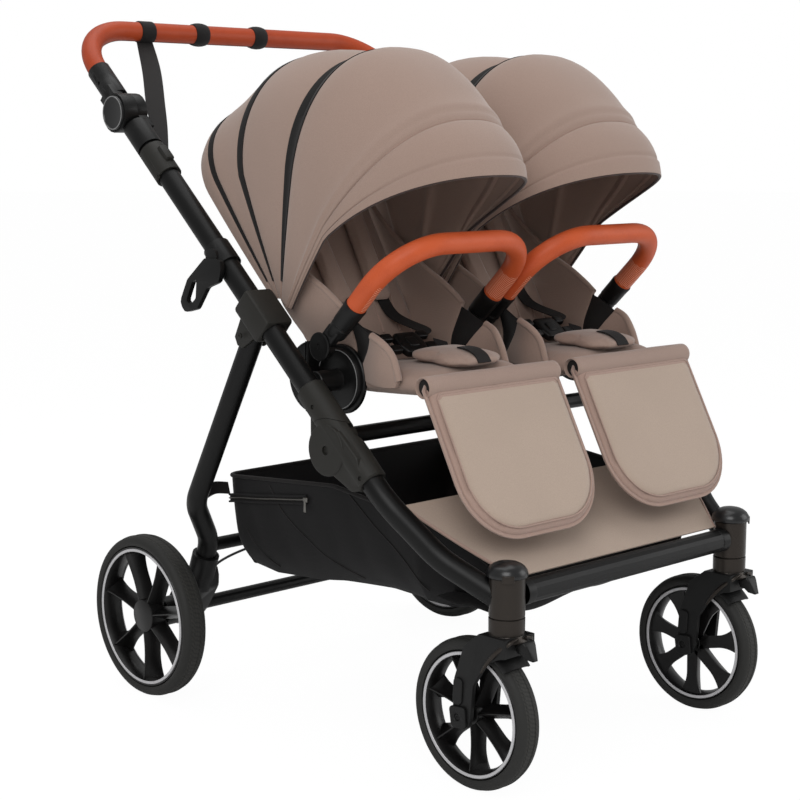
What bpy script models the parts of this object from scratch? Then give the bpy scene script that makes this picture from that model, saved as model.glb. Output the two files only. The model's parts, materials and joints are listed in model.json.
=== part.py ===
"""Side-by-side double stroller: a folding tube frame on castors and fixed wheels, with two seats.

Metres, +Z up. The stroller faces -Y, its origin is on the floor under the middle of its bounding
box, and its plane of symmetry is X = 0. Places are written as (back, up): the distance behind the
front axle and the height above the floor. Names end in _r for the pusher's right, which is -X,
and in _l for the left, which is +X.
"""

import math

import bmesh
import bpy
from mathutils import Matrix, Vector

# overall layout
FRONT_AXLE_Y = -0.3869
SIDES = {"r": -1.0, "l": 1.0}
GAP = 0.0003
WELD = 0.000002
INSET = 0.0006

# wheels
FRONT_WHEEL_RADIUS = 0.110
FRONT_WHEEL_X = 0.257
FRONT_TYRE_WIDTH = 0.038
REAR_WHEEL_RADIUS = 0.134
REAR_WHEEL_X = 0.347
REAR_TYRE_WIDTH = 0.042
TYRE_DEPTH = 0.017
WHEEL_STEPS = 28
SPOKES = 7
AXLE_PIN_RADIUS = 0.006
FRONT_AXLE = (0.0, FRONT_WHEEL_RADIUS)
REAR_AXLE = (0.667, REAR_WHEEL_RADIUS)

# side tubes of the frame, which lean back in one straight line
TUBE_RADIUS = 0.0175
SLEEVE_RADIUS = 0.0215
TUBE_BORE_RADIUS = (TUBE_RADIUS + GAP) / math.cos(math.pi / 16)
SIDE_X = 0.338
SIDE_LINE_START = (0.128, 0.435)
SIDE_LEAN = math.radians(41.7)

# fold lock, rear hinge and handle joint
LOCK_PIVOT = (0.203, 0.473)
LOCK_FOOT_ALONG = 0.0813
LOCK_TUBE_REACH = 0.036
LOCK_DISC_RADIUS = 0.0325
LOCK_OUTER_X = 0.3600
REAR_PIVOT = (0.400, 0.622)
HANDLE_PIVOT_ALONG = 0.7822
HANDLE_ARM = 0.212
HANDLE_CORNER_RADIUS = 0.106
GRIP_START = 0.1055
STRAP_TOP_X = -0.178
HANDLE_BAR_RADIUS = 0.0125
GRIP_RADIUS = 0.0165
KNOB_RADIUS = 0.0278
CLEVIS_INNER_X = 0.3195
CLEVIS_MIDDLE_X = 0.3380
CLEVIS_OUTER_X = 0.3625
CHEEK_RADIUS = 0.0315
HINGE_INNER_X = 0.3080
HINGE_OUTER_X = 0.3605
COUPLER_ALONG = 0.662
CUP_CLIP_ALONG = 0.452

# castors
CASTOR_BACK = -0.058
CASTOR_HEAD_RADIUS = 0.025
CASTOR_HEAD_TOP = 0.341
CASTOR_SEAM = 0.262
STEM_RADIUS = 0.008
FORK_CROWN_TOP = 0.238
FORK_HALF_WIDTH = 0.030
SWIVEL_LOCK_PIVOT = (-0.0913, 0.224)
CROSS_TUBE = (-0.060, 0.292)
APRON_LOW = (-0.040, 0.300)
APRON_HIGH = (0.098, 0.400)
APRON_LOW_HALF_WIDTH = 0.222
APRON_HIGH_HALF_WIDTH = 0.300

# rear frame
LEG_RADIUS = 0.0165
LEG_X = 0.330
LEG_KNEE = (0.558, 0.337)
LEG_SHIN = (0.594, 0.262)
LEG_FOOT = (0.622, 0.190)
LEG_FOOT_X = 0.276
REAR_BAR = (0.597, 0.252)
REAR_BAR_RADIUS = 0.011
LEG_SLEEVE_RADIUS = 0.0225
BRACKET_INNER_X = 0.252
BRACKET_OUTER_X = 0.292
BRACKET_BOSS_X = 0.3245
BRAKE_PIVOT = (0.712, 0.139)
CABLE_RADIUS = 0.0022
BASKET_HALF_WIDTH = 0.262

# seats
SEAT_X = 0.157
SEAT_HALF_WIDTH = 0.129
SEAT_TUBE = (0.250, 0.479)
SEAT_TUBE_RADIUS = 0.0125
POST_HALF_THICKNESS = 0.0085
BUCKLE = (0.241, 0.6115)
HUB = (0.285, 0.560)
HUB_RADIUS = 0.050
HUB_OUTER_RADIUS = 0.036
HUB_INNER_X = 0.262
HUB_STEP_X = 0.2895
BUMPER_PIVOT = (0.269, 0.613)
BUMPER_FRONT = (0.113, 0.766)
BUMPER_HALF_WIDTH = 0.1415
BUMPER_RADIUS = 0.0145
LEG_REST_HINGE = (0.072, 0.570)
LEG_REST_DROP = math.radians(62.0)
LEG_REST_LENGTH = 0.235
LEG_REST_HALF_WIDTH = 0.138
LEG_REST_THICKNESS = 0.022
BACKREST_HINGE = (0.330, 0.585)
BACKREST_LEAN = math.radians(58.6)
BACKREST_LENGTH = 0.400
BACKREST_THICKNESS = 0.030
CANOPY_PIVOT = (0.379, 0.674)
CANOPY_CLOTH = 0.004


def fresh_collection(name):
    """A new collection in the scene."""
    collection = bpy.data.collections.new(name)
    bpy.context.scene.collection.children.link(collection)
    return collection


for old in list(bpy.data.objects):
    bpy.data.objects.remove(old, do_unlink=True)
STROLLER = fresh_collection("double_stroller")


# places

def at(x, place, up=None):
    """World point from x and a (back, up) place."""
    back, height = place if up is None else (place, up)
    return Vector((x, FRONT_AXLE_Y + back, height))


def along_side(distance, offset=0.0):
    """The (back, up) place at a distance up the side line, moved by offset square to it."""
    back, up = SIDE_LINE_START
    lean_cos, lean_sin = math.cos(SIDE_LEAN), math.sin(SIDE_LEAN)
    return (
        back + distance * lean_cos - offset * lean_sin,
        up + distance * lean_sin + offset * lean_cos,
    )


def polar(centre, radius, angle):
    """The (back, up) place at a radius and an angle, in degrees up from straight back."""
    turn = math.radians(angle)
    return (centre[0] + radius * math.cos(turn), centre[1] + radius * math.sin(turn))


HANDLE_PIVOT = along_side(HANDLE_PIVOT_ALONG)


def filleted(corners, radius, steps=4, closed=False):
    """The corner points with each inner corner replaced by an arc of the radius."""
    corners = [Vector(c) for c in corners]
    count = len(corners)
    points = []
    for i, corner in enumerate(corners):
        if not closed and i in (0, count - 1):
            points.append(corner)
            continue
        before = corners[i - 1] - corner
        after = corners[(i + 1) % count] - corner
        bend = before.angle(after)
        reach = min(radius / math.tan(bend / 2), 0.49 * before.length, 0.49 * after.length)
        start = corner + before.normalized() * reach
        end = corner + after.normalized() * reach
        for k in range(steps + 1):
            t = k / steps
            points.append((1 - t) ** 2 * start + 2 * t * (1 - t) * corner + t**2 * end)
    return points


# building blocks

def add(name, mesh):
    """An object of the mesh, linked into the stroller."""
    obj = bpy.data.objects.new(name, mesh)
    STROLLER.objects.link(obj)
    return obj


def settle(obj):
    """Replace the object by one mesh: modifiers applied, doubles welded, faces pointing out."""
    bpy.context.view_layer.update()
    seen = obj.evaluated_get(bpy.context.evaluated_depsgraph_get())
    mesh = bpy.data.meshes.new_from_object(seen)
    mesh.transform(obj.matrix_world)
    name = obj.name
    bpy.data.objects.remove(obj, do_unlink=True)
    work = bmesh.new()
    work.from_mesh(mesh)
    bmesh.ops.remove_doubles(work, verts=work.verts, dist=WELD)
    bmesh.ops.recalc_face_normals(work, faces=work.faces)
    work.to_mesh(mesh)
    work.free()
    return add(name, mesh)


def combine(target, operation, *others):
    """Join the others to the target, or cut them from it, and remove them."""
    for other in others:
        step = target.modifiers.new(operation.lower(), "BOOLEAN")
        step.operation = operation
        step.solver = "EXACT"
        step.object = other
        target = settle(target)
        bpy.data.objects.remove(other, do_unlink=True)
    return target


def join(target, *others):
    return combine(target, "UNION", *others)


def cut(target, *others):
    return combine(target, "DIFFERENCE", *others)


def tube(name, points, radius, resolution=3):
    """A round bar along the points."""
    curve = bpy.data.curves.new(name, "CURVE")
    curve.dimensions = "3D"
    curve.bevel_depth = radius
    curve.bevel_resolution = resolution
    curve.use_fill_caps = True
    spline = curve.splines.new("POLY")
    spline.points.add(len(points) - 1)
    for knot, point in zip(spline.points, points):
        knot.co = (*point, 1.0)
    return settle(add(name, curve))


def drum(name, start, end, radius, end_radius=None, sides=20):
    """A cylinder or a cone between two points."""
    axis = end - start
    work = bmesh.new()
    turn = axis.to_track_quat("Z", "Y").to_matrix().to_4x4()
    bmesh.ops.create_cone(
        work,
        cap_ends=True,
        segments=sides,
        radius1=radius,
        radius2=radius if end_radius is None else end_radius,
        depth=axis.length,
        matrix=Matrix.Translation((start + end) / 2) @ turn,
    )
    mesh = bpy.data.meshes.new(name)
    work.to_mesh(mesh)
    work.free()
    return add(name, mesh)


def pin(name, side, place, inner_x, outer_x, radius, sides=20):
    """A cylinder along X on one side of the stroller."""
    return drum(name, at(side * inner_x, place), at(side * outer_x, place), radius, sides=sides)


def block(name, centre, size, lean=0.0, bevel=0.0):
    """A box turned by lean about X, its edges rounded by bevel."""
    work = bmesh.new()
    bmesh.ops.create_cube(work, size=1.0)
    mesh = bpy.data.meshes.new(name)
    bmesh.ops.scale(work, vec=size, verts=work.verts)
    work.to_mesh(mesh)
    work.free()
    obj = add(name, mesh)
    if bevel:
        edge = obj.modifiers.new("bevel", "BEVEL")
        edge.width = bevel
        edge.segments = 2
    obj.matrix_world = Matrix.Translation(centre) @ Matrix.Rotation(lean, 4, "X")
    return settle(obj)


def flat(name, outlines, thickness):
    """A plate in the XY plane, half its thickness each side; later outlines are its holes."""
    curve = bpy.data.curves.new(name, "CURVE")
    curve.dimensions = "2D"
    curve.fill_mode = "BOTH"
    curve.extrude = thickness / 2
    for outline in outlines:
        spline = curve.splines.new("POLY")
        spline.use_cyclic_u = True
        spline.points.add(len(outline) - 1)
        for knot, point in zip(spline.points, outline):
            knot.co = (point[0], point[1], 0.0, 1.0)
    return add(name, curve)


def side_plate(name, side, inner_x, outer_x, outlines):
    """A plate square to X, its outlines given as (back, up) places."""
    obj = flat(name, outlines, outer_x - inner_x)
    upright = Matrix(((0, 0, 1, 0), (1, 0, 0, 0), (0, 1, 0, 0), (0, 0, 0, 1)))
    obj.matrix_world = Matrix.Translation(at(side * (inner_x + outer_x) / 2, 0.0, 0.0)) @ upright
    return settle(obj)


def turned(name, profile, closed, steps, first=0.0, sweep=2 * math.pi, axis="X"):
    """A surface turned about X, or about Z, from a profile of (distance along it, radius) points."""
    mesh = bpy.data.meshes.new(name)
    work = bmesh.new()
    upright = axis == "Z"
    knots = [work.verts.new((r, 0.0, a) if upright else (a, r, 0.0)) for a, r in profile]
    for one, other in zip(knots, knots[1:]):
        work.edges.new((one, other))
    if closed:
        work.edges.new((knots[-1], knots[0]))
    bmesh.ops.rotate(work, verts=work.verts, matrix=Matrix.Rotation(first, 3, axis))
    work.to_mesh(mesh)
    work.free()
    obj = add(name, mesh)
    screw = obj.modifiers.new("turn", "SCREW")
    screw.axis = axis
    screw.angle = sweep
    screw.steps = steps
    screw.render_steps = steps
    screw.use_merge_vertices = True
    screw.merge_threshold = 0.0001
    return obj


def finish(obj, colour, roughness, metallic=0.0):
    """Give the sub-part its own material."""
    material = bpy.data.materials.new(obj.name)
    material.use_nodes = True
    surface = material.node_tree.nodes["Principled BSDF"]
    surface.inputs["Base Color"].default_value = (*colour, 1.0)
    surface.inputs["Roughness"].default_value = roughness
    surface.inputs["Metallic"].default_value = metallic
    obj.data.materials.clear()
    obj.data.materials.append(material)
    obj.data.shade_smooth()
    obj.data.set_sharp_from_angle(angle=math.radians(35))
    return obj


def black_metal(obj):
    return finish(obj, (0.012, 0.012, 0.012), 0.4, 0.6)


def dark_plastic(obj):
    return finish(obj, (0.03, 0.029, 0.027), 0.5)


def rubber(obj):
    return finish(obj, (0.025, 0.025, 0.024), 0.85)


def leather(obj):
    return finish(obj, (0.42, 0.08, 0.025), 0.55)


def taupe_fabric(obj):
    return finish(obj, (0.33, 0.235, 0.185), 0.95)


def pad_fabric(obj):
    return finish(obj, (0.43, 0.34, 0.27), 0.95)


def black_fabric(obj):
    return finish(obj, (0.012, 0.012, 0.013), 0.95)


# wheels

def tyre_profile(radius, width):
    """Closed section of a tyre, turned about X, with a flat tread."""
    half = width / 2
    apothem = math.cos(math.pi / WHEEL_STEPS)
    bead = radius - TYRE_DEPTH
    section = [
        (-half + 0.003, bead),
        (-half, radius - 0.010),
        (-half + 0.009, radius),
        (half - 0.009, radius),
        (half, radius - 0.010),
        (half - 0.003, bead),
    ]
    return [(x, r / apothem) for x, r in section]


def wheel_windows(inner, outer):
    """Outlines of the openings between the spokes."""
    holes = []
    for k in range(SPOKES):
        middle = math.pi / 2 + (k + 0.5) * 2 * math.pi / SPOKES
        half_pitch = math.pi / SPOKES
        corners = []
        for radius, turn in ((outer, -1.0), (outer, 1.0), (inner, 0.6), (inner, -0.6)):
            angle = middle + turn * (half_pitch - 0.0085 / radius)
            corners.append(Vector((radius * math.cos(angle), radius * math.sin(angle))))
        holes.append(corners)
    return holes


def rim(name, radius, width, hub_radius, blind):
    """A moulded rim with spokes and a hub, bored for its axle pin from the inner side."""
    seat = (radius - TYRE_DEPTH) / math.cos(math.pi / WHEEL_STEPS) - GAP
    half = width / 2 - 0.004
    barrel = [(-half, seat), (half, seat), (half, seat - 0.006), (-half, seat - 0.006)]
    body = settle(turned(name, barrel, True, WHEEL_STEPS, math.pi / WHEEL_STEPS))
    edge = seat - 0.004
    circle = [
        Vector((edge * math.cos(a), edge * math.sin(a)))
        for a in (2 * math.pi * k / WHEEL_STEPS for k in range(WHEEL_STEPS))
    ]
    web = flat("web", [circle, *wheel_windows(hub_radius + 0.008, seat - 0.009)], 0.012)
    web.matrix_world = Matrix.Rotation(math.pi / 2, 4, "Y")
    hub_end = width / 2 - 0.004
    hub = drum("hub", Vector((-hub_end, 0, 0)), Vector((hub_end, 0, 0)), hub_radius, sides=16)
    body = join(body, settle(web), hub)
    bore_end = 0.0125 if blind else width
    bore = drum("bore", Vector((-width, 0, 0)), Vector((bore_end, 0, 0)), AXLE_PIN_RADIUS + GAP, sides=12)
    return cut(body, bore)


def wheels():
    """Four rims and tyres, each centred on its axle."""
    kinds = (
        ("front", FRONT_WHEEL_RADIUS, FRONT_TYRE_WIDTH, FRONT_WHEEL_X, FRONT_AXLE, 0.016, False),
        ("rear", REAR_WHEEL_RADIUS, REAR_TYRE_WIDTH, REAR_WHEEL_X, REAR_AXLE, 0.021, True),
    )
    for kind, radius, width, wheel_x, axle, hub_radius, blind in kinds:
        rim_mesh = rim(kind + "_rim", radius, width, hub_radius, blind)
        tyre = turned("tyre", tyre_profile(radius, width), True, WHEEL_STEPS, math.pi / WHEEL_STEPS)
        tyre_mesh = settle(tyre)
        for suffix, side in SIDES.items():
            for part, shape, paint in (("rim", rim_mesh, dark_plastic), ("tyre", tyre_mesh, rubber)):
                piece = add(f"{kind}_{part}_{suffix}", shape.data.copy())
                if side < 0:
                    piece.data.transform(Matrix.Rotation(math.pi, 4, "Z"))
                piece.location = at(side * wheel_x, axle)
                paint(piece)
        bpy.data.objects.remove(rim_mesh, do_unlink=True)
        bpy.data.objects.remove(tyre_mesh, do_unlink=True)


# upper frame


def side_drum(name, side, first, last, radius, sides=20):
    """A cylinder along the side line between two distances."""
    x = side * SIDE_X
    return drum(name, at(x, along_side(first)), at(x, along_side(last)), radius, sides=sides)


def upper_frame(suffix, side):
    """The long side tube and the fittings that are fixed to it."""
    low = LOCK_FOOT_ALONG + LOCK_TUBE_REACH
    high = HANDLE_PIVOT_ALONG - 0.037
    black_metal(side_drum("main_tube_" + suffix, side, low, high, TUBE_RADIUS, 16))

    def bore(name, first, last):
        return side_drum(name, side, first, last, TUBE_BORE_RADIUS, 16)

    low_end, high_end = COUPLER_ALONG - 0.030, COUPLER_ALONG + 0.030
    coupler = side_drum("tube_coupler_" + suffix, side, low_end, high_end, SLEEVE_RADIUS)
    ear_place = at(side * SIDE_X, along_side(COUPLER_ALONG, 0.019))
    ear = block("ear", ear_place, (0.016, 0.030, 0.016), SIDE_LEAN, 0.003)
    dark_plastic(cut(join(coupler, ear), bore("bore", low_end - 0.03, high_end + 0.03)))

    low_end, high_end = HANDLE_PIVOT_ALONG - 0.085, HANDLE_PIVOT_ALONG - 0.034
    joint = side_drum("handle_joint_" + suffix, side, low_end, high_end, SLEEVE_RADIUS)
    cheek = pin("cheek", side, HANDLE_PIVOT, CLEVIS_INNER_X, CLEVIS_MIDDLE_X - GAP, CHEEK_RADIUS)
    thickness = CLEVIS_MIDDLE_X - GAP - CLEVIS_INNER_X
    middle = at(side * (CLEVIS_INNER_X + thickness / 2), along_side(HANDLE_PIVOT_ALONG - 0.025))
    bridge = block("bridge", middle, (thickness - 2 * INSET, 0.050, 0.036), SIDE_LEAN)
    dark_plastic(cut(join(joint, cheek, bridge), bore("bore", low_end - 0.03, high + GAP)))

    hinge = rear_hinge_bracket(suffix, side)
    dark_plastic(cut(hinge, bore("bore", 0.2, 0.5)))

    low_end, high_end = LOCK_FOOT_ALONG + 0.035, LOCK_FOOT_ALONG + 0.095
    lock = side_drum("lock_upper_" + suffix, side, low_end, high_end, SLEEVE_RADIUS)
    tail = [(0.262, 0.452), (0.262, 0.520), (0.245, 0.535), (0.205, 0.505), (0.185, 0.490), (0.180, 0.455)]
    tail_inner_x = CLEVIS_INNER_X + INSET
    tail_outer_x = CLEVIS_MIDDLE_X - GAP - INSET
    plate = side_plate("tail", side, tail_inner_x, tail_outer_x, [filleted(tail, 0.010, 2, True)])
    disc = pin("disc", side, LOCK_PIVOT, CLEVIS_INNER_X, CLEVIS_MIDDLE_X - GAP, LOCK_DISC_RADIUS)
    dark_plastic(cut(join(lock, disc, plate), bore("bore", low - GAP, high_end + 0.03)))


def rear_hinge_bracket(suffix, side):
    """A clamp on the side tube with two cheeks that hold the rear leg's pivot."""
    foot = (REAR_PIVOT[0] - SIDE_LINE_START[0]) * math.cos(SIDE_LEAN)
    foot += (REAR_PIVOT[1] - SIDE_LINE_START[1]) * math.sin(SIDE_LEAN)
    size = (HINGE_OUTER_X - HINGE_INNER_X, 0.072, 0.044)
    middle = at(side * (HINGE_INNER_X + HINGE_OUTER_X) / 2, along_side(foot))
    clamp = block("rear_hinge_bracket_" + suffix, middle, size, SIDE_LEAN, 0.006)
    outline = [
        along_side(foot - 0.028, -0.006),
        polar(REAR_PIVOT, 0.020, -85),
        polar(REAR_PIVOT, 0.021, -50),
        polar(REAR_PIVOT, 0.020, -10),
        along_side(foot + 0.026, -0.006),
    ]
    shape = [outline]
    inner = side_plate("cheek", side, HINGE_INNER_X + INSET, LEG_X - LEG_RADIUS - GAP, shape)
    outer = side_plate("cheek", side, LEG_X + LEG_RADIUS + GAP, HINGE_OUTER_X - 0.008, shape)
    return join(clamp, inner, outer)


def cup_holder_bracket():
    """A clip ring on the right side tube with an open loop that hangs behind it."""
    side = SIDES["r"]
    low_end, high_end = CUP_CLIP_ALONG - 0.020, CUP_CLIP_ALONG + 0.020
    ring = side_drum("cup_holder_bracket", side, low_end, high_end, SLEEVE_RADIUS)
    loop = [
        (0.432, 0.735), (0.475, 0.735), (0.520, 0.700), (0.540, 0.664),
        (0.528, 0.648), (0.497, 0.655), (0.470, 0.690), (0.440, 0.700),
    ]
    slot = [(0.496, 0.703), (0.508, 0.696), (0.524, 0.666), (0.512, 0.662), (0.499, 0.672)]
    outlines = [filleted(loop, 0.012, 2, True), filleted(slot, 0.006, 2, True)]
    plate = side_plate("loop", side, 0.3575, 0.3655, outlines)
    neck = pin("neck", side, along_side(CUP_CLIP_ALONG), 0.345, 0.360, 0.014)
    bore = side_drum("bore", side, low_end - 0.03, high_end + 0.03, TUBE_BORE_RADIUS, 16)
    dark_plastic(cut(join(ring, neck, plate), bore))


def seat_supports():
    """The cross tube with its middle post, and the round hubs that carry the seats' outer sides."""
    reach = CLEVIS_INNER_X - GAP
    beam = drum("seat_cross_tube", at(-reach, SEAT_TUBE), at(reach, SEAT_TUBE), SEAT_TUBE_RADIUS, sides=16)
    post_outline = [(0.236, 0.474), (0.264, 0.474), (0.318, 0.560), (0.300, 0.590)]
    post_outline += [polar(BUMPER_PIVOT, 0.0205, angle) for angle in (-20, 40, 100, 150, 200)]
    post_outline += [(0.215, 0.575), (0.205, 0.545)]
    post = side_plate("post", 1.0, -POST_HALF_THICKNESS, POST_HALF_THICKNESS, [post_outline])
    black_metal(join(beam, post))
    for suffix, side in SIDES.items():
        hub = pin("seat_hub_" + suffix, side, HUB, HUB_INNER_X, HUB_STEP_X, HUB_RADIUS, 28)
        outer_x = SIDE_X - SLEEVE_RADIUS - GAP
        face = pin("face", side, HUB, HUB_STEP_X - 0.010, outer_x, HUB_OUTER_RADIUS, 28)
        ear_outline = [polar(HUB, 0.035, 150)]
        ear_outline += [polar(BUMPER_PIVOT, 0.0195, angle) for angle in (190, 130, 70, 10)]
        ear_outline += [polar(HUB, 0.035, 30)]
        ear = side_plate("ear", side, HUB_STEP_X - 0.006, HUB_STEP_X + 0.007, [ear_outline])
        foot_back, foot_up = SEAT_TUBE[0], SEAT_TUBE[1] + SEAT_TUBE_RADIUS + 0.001
        arm_outline = [(0.255, 0.535), (foot_back - 0.012, foot_up)]
        arm_outline += [(foot_back + 0.014, foot_up), (0.310, 0.535)]
        arm = side_plate("arm", side, HUB_INNER_X + 0.004, HUB_STEP_X - 0.004, [arm_outline])
        dark_plastic(join(hub, face, ear, arm))


# handle

def handle():
    """The push bar, its leather grip, the wrist strap and the two release knobs."""
    corners = [
        at(-SIDE_X, along_side(HANDLE_PIVOT_ALONG + 0.036)),
        at(-SIDE_X, along_side(HANDLE_PIVOT_ALONG + HANDLE_ARM)),
        at(SIDE_X, along_side(HANDLE_PIVOT_ALONG + HANDLE_ARM)),
        at(SIDE_X, along_side(HANDLE_PIVOT_ALONG + 0.036)),
    ]
    path = filleted(corners, HANDLE_CORNER_RADIUS, 6)
    bar = tube("handle_bar", path, HANDLE_BAR_RADIUS)
    ends = [at(x, along_side(HANDLE_PIVOT_ALONG + GRIP_START)) for x in (-SIDE_X, SIDE_X)]
    grip = tube("handle_grip", [ends[0], *path[1:-1], ends[1]], GRIP_RADIUS)
    leather(cut(grip, tube("bore", path, HANDLE_BAR_RADIUS + GAP)))
    inner_x = CLEVIS_MIDDLE_X
    middle_x = (inner_x + CLEVIS_OUTER_X) / 2
    for suffix, side in SIDES.items():
        low_end, high_end = HANDLE_PIVOT_ALONG + 0.035, HANDLE_PIVOT_ALONG + GRIP_START - GAP
        sleeve = side_drum("sleeve", side, low_end, high_end, 0.019)
        cup = pin("cup", side, HANDLE_PIVOT, inner_x, CLEVIS_OUTER_X, CHEEK_RADIUS)
        bridge = block(
            "bridge",
            at(side * (middle_x - 0.003), along_side(HANDLE_PIVOT_ALONG + 0.025)),
            (CLEVIS_OUTER_X - inner_x - 0.006 - 2 * INSET, 0.050, 0.034),
            SIDE_LEAN,
        )
        recess = pin("recess", side, HANDLE_PIVOT, 0.3530, 0.38, KNOB_RADIUS + GAP, 28)
        bar = cut(join(bar, sleeve, cup, bridge), recess)
        dark_plastic(pin("knob_" + suffix, side, HANDLE_PIVOT, 0.3572, 0.3665, KNOB_RADIUS, 28))
    black_metal(bar)

    top = at(STRAP_TOP_X, along_side(HANDLE_PIVOT_ALONG + HANDLE_ARM)) - Vector((0.010, 0.012, 0.015))
    foot = at(-SIDE_X + 0.004, along_side(0.690, 0.028))
    run = foot - top
    strap = block("wrist_strap", Vector(), (0.032, 0.0024, run.length - 0.012))
    run.normalize()
    across = Vector((1.0, 0.0, 0.0))
    across = (across - across.dot(run) * run).normalized()
    turn = Matrix((across, run.cross(across), run)).transposed()
    strap.matrix_world = Matrix.Translation((top + foot) / 2) @ turn.to_4x4()
    black_fabric(settle(strap))


# front frame

def front_frame():
    """The part that swings at the fold locks: lower tubes, castor heads and the front cross tube."""
    reach = FRONT_WHEEL_X - CASTOR_HEAD_RADIUS
    beam = drum("front_cross_tube", at(-reach, CROSS_TUBE), at(reach, CROSS_TUBE), TUBE_RADIUS, sides=16)
    for suffix, side in SIDES.items():
        x = side * FRONT_WHEEL_X
        base = CASTOR_SEAM + GAP
        profile = [
            (CASTOR_HEAD_TOP - 0.020 * (1.0 - math.cos(a)), CASTOR_HEAD_RADIUS * math.sin(a))
            for a in (math.radians(d) for d in (0, 22, 45, 68, 90))
        ]
        bore = STEM_RADIUS + GAP
        profile += [(base, CASTOR_HEAD_RADIUS), (base, bore), (base + 0.050, bore), (base + 0.050, 0.0)]
        head = turned("castor_head_" + suffix, profile, False, 24, axis="Z")
        head.matrix_world = Matrix.Translation(at(x, CASTOR_BACK, 0.0))
        head = settle(head)

        corners = [
            at(side * SIDE_X, along_side(LOCK_FOOT_ALONG - LOCK_TUBE_REACH)),
            at(side * SIDE_X, along_side(-0.036)),
            at(side * 0.299, 0.031, 0.334),
            at(side * 0.262, CASTOR_BACK + 0.005, 0.286),
        ]
        path = filleted(corners, 0.16, 5)
        lower = tube("lower_tube_" + suffix, path, TUBE_RADIUS)
        room = (at(x, CASTOR_BACK, 0.20), at(x, CASTOR_BACK, 0.36), CASTOR_HEAD_RADIUS + GAP)
        black_metal(cut(lower, drum("room", *room, sides=24)))
        beam = cut(beam, drum("room", *room, sides=24))
        dark_plastic(head)

        sleeve = side_drum("lock_lower_" + suffix, side, 0.0, LOCK_FOOT_ALONG - 0.035, SLEEVE_RADIUS)
        disc = pin("disc", side, LOCK_PIVOT, CLEVIS_MIDDLE_X, LOCK_OUTER_X, LOCK_DISC_RADIUS)
        bridge_outer_x = LOCK_OUTER_X - 0.0015
        bridge = block(
            "bridge",
            at(side * (CLEVIS_MIDDLE_X + bridge_outer_x) / 2, along_side(LOCK_FOOT_ALONG - 0.030, -0.008)),
            (bridge_outer_x - CLEVIS_MIDDLE_X - 2 * INSET, 0.050, 0.036),
            SIDE_LEAN,
        )
        lock = join(sleeve, disc, bridge)
        bore = side_drum("bore", side, -0.05, LOCK_FOOT_ALONG - LOCK_TUBE_REACH + GAP, TUBE_BORE_RADIUS, 16)
        dark_plastic(cut(lock, bore))
    black_metal(beam)

    low, high = Vector(APRON_LOW), Vector(APRON_HIGH)
    rise = high - low
    half_length = rise.length / 2
    outline = [
        (-APRON_LOW_HALF_WIDTH, -half_length),
        (APRON_LOW_HALF_WIDTH, -half_length),
        (APRON_HIGH_HALF_WIDTH, half_length),
        (-APRON_HIGH_HALF_WIDTH, half_length),
    ]
    apron = flat("apron", [outline], 0.004)
    turn = Matrix.Rotation(math.atan2(rise.y, rise.x), 4, "X")
    apron.matrix_world = Matrix.Translation(at(0.0, tuple((low + high) / 2))) @ turn
    pad_fabric(settle(apron))


# castors

def castor(suffix, side):
    """The fork that swivels in the castor head, with its axle pin and swivel lock lever."""
    x = side * FRONT_WHEEL_X
    outline = [
        (-0.083, 0.238), (-0.033, 0.238), (-0.004, 0.215), (0.014, 0.165),
        polar(FRONT_AXLE, 0.018, 20), polar(FRONT_AXLE, 0.018, -40), polar(FRONT_AXLE, 0.018, -90),
        polar(FRONT_AXLE, 0.018, -140), polar(FRONT_AXLE, 0.018, 170),
        (-0.022, 0.160), (-0.045, 0.195), (-0.068, 0.208), (-0.083, 0.212),
    ]
    fork = side_plate("fork_" + suffix, 1.0, x - FORK_HALF_WIDTH, x + FORK_HALF_WIDTH, [outline])
    room = 0.0225
    ends = (at(x - room, FRONT_AXLE), at(x + room, FRONT_AXLE))
    tunnel = drum("tunnel", *ends, FRONT_WHEEL_RADIUS + 0.005, sides=32)
    fork = cut(fork, tunnel)
    collar_ends = (at(x, CASTOR_BACK, FORK_CROWN_TOP - 0.006), at(x, CASTOR_BACK, CASTOR_SEAM))
    collar = drum("collar", *collar_ends, CASTOR_HEAD_RADIUS)
    stem_low, stem_high = CASTOR_SEAM - 0.004, CASTOR_SEAM + 0.046
    stem = drum("stem", at(x, CASTOR_BACK, stem_low), at(x, CASTOR_BACK, stem_high), STEM_RADIUS)
    axle = drum("axle", at(x - 0.026, FRONT_AXLE), at(x + 0.026, FRONT_AXLE), AXLE_PIN_RADIUS, sides=12)
    dark_plastic(join(fork, collar, stem, axle))

    pivot = SWIVEL_LOCK_PIVOT
    lever_outline = [
        polar(pivot, 0.007, 0), polar(pivot, 0.007, 60), (-0.099, 0.236), (-0.104, 0.230), (-0.113, 0.209),
        (-0.102, 0.212), polar(pivot, 0.007, -120), polar(pivot, 0.007, -60),
    ]
    dark_plastic(side_plate("swivel_lock_" + suffix, 1.0, x - 0.012, x + 0.012, [lever_outline]))


# rear frame

def leg_path(side):
    """Centre line of a rear leg: straight, then bent inwards to its foot."""
    pivot, knee = Vector(REAR_PIVOT), Vector(LEG_KNEE)
    top = pivot - (knee - pivot).normalized() * 0.010
    return filleted(
        [
            at(side * LEG_X, tuple(top)),
            at(side * LEG_X, LEG_KNEE),
            at(side * LEG_FOOT_X, LEG_SHIN),
            at(side * LEG_FOOT_X, LEG_FOOT),
        ],
        0.07,
        5,
    )


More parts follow.
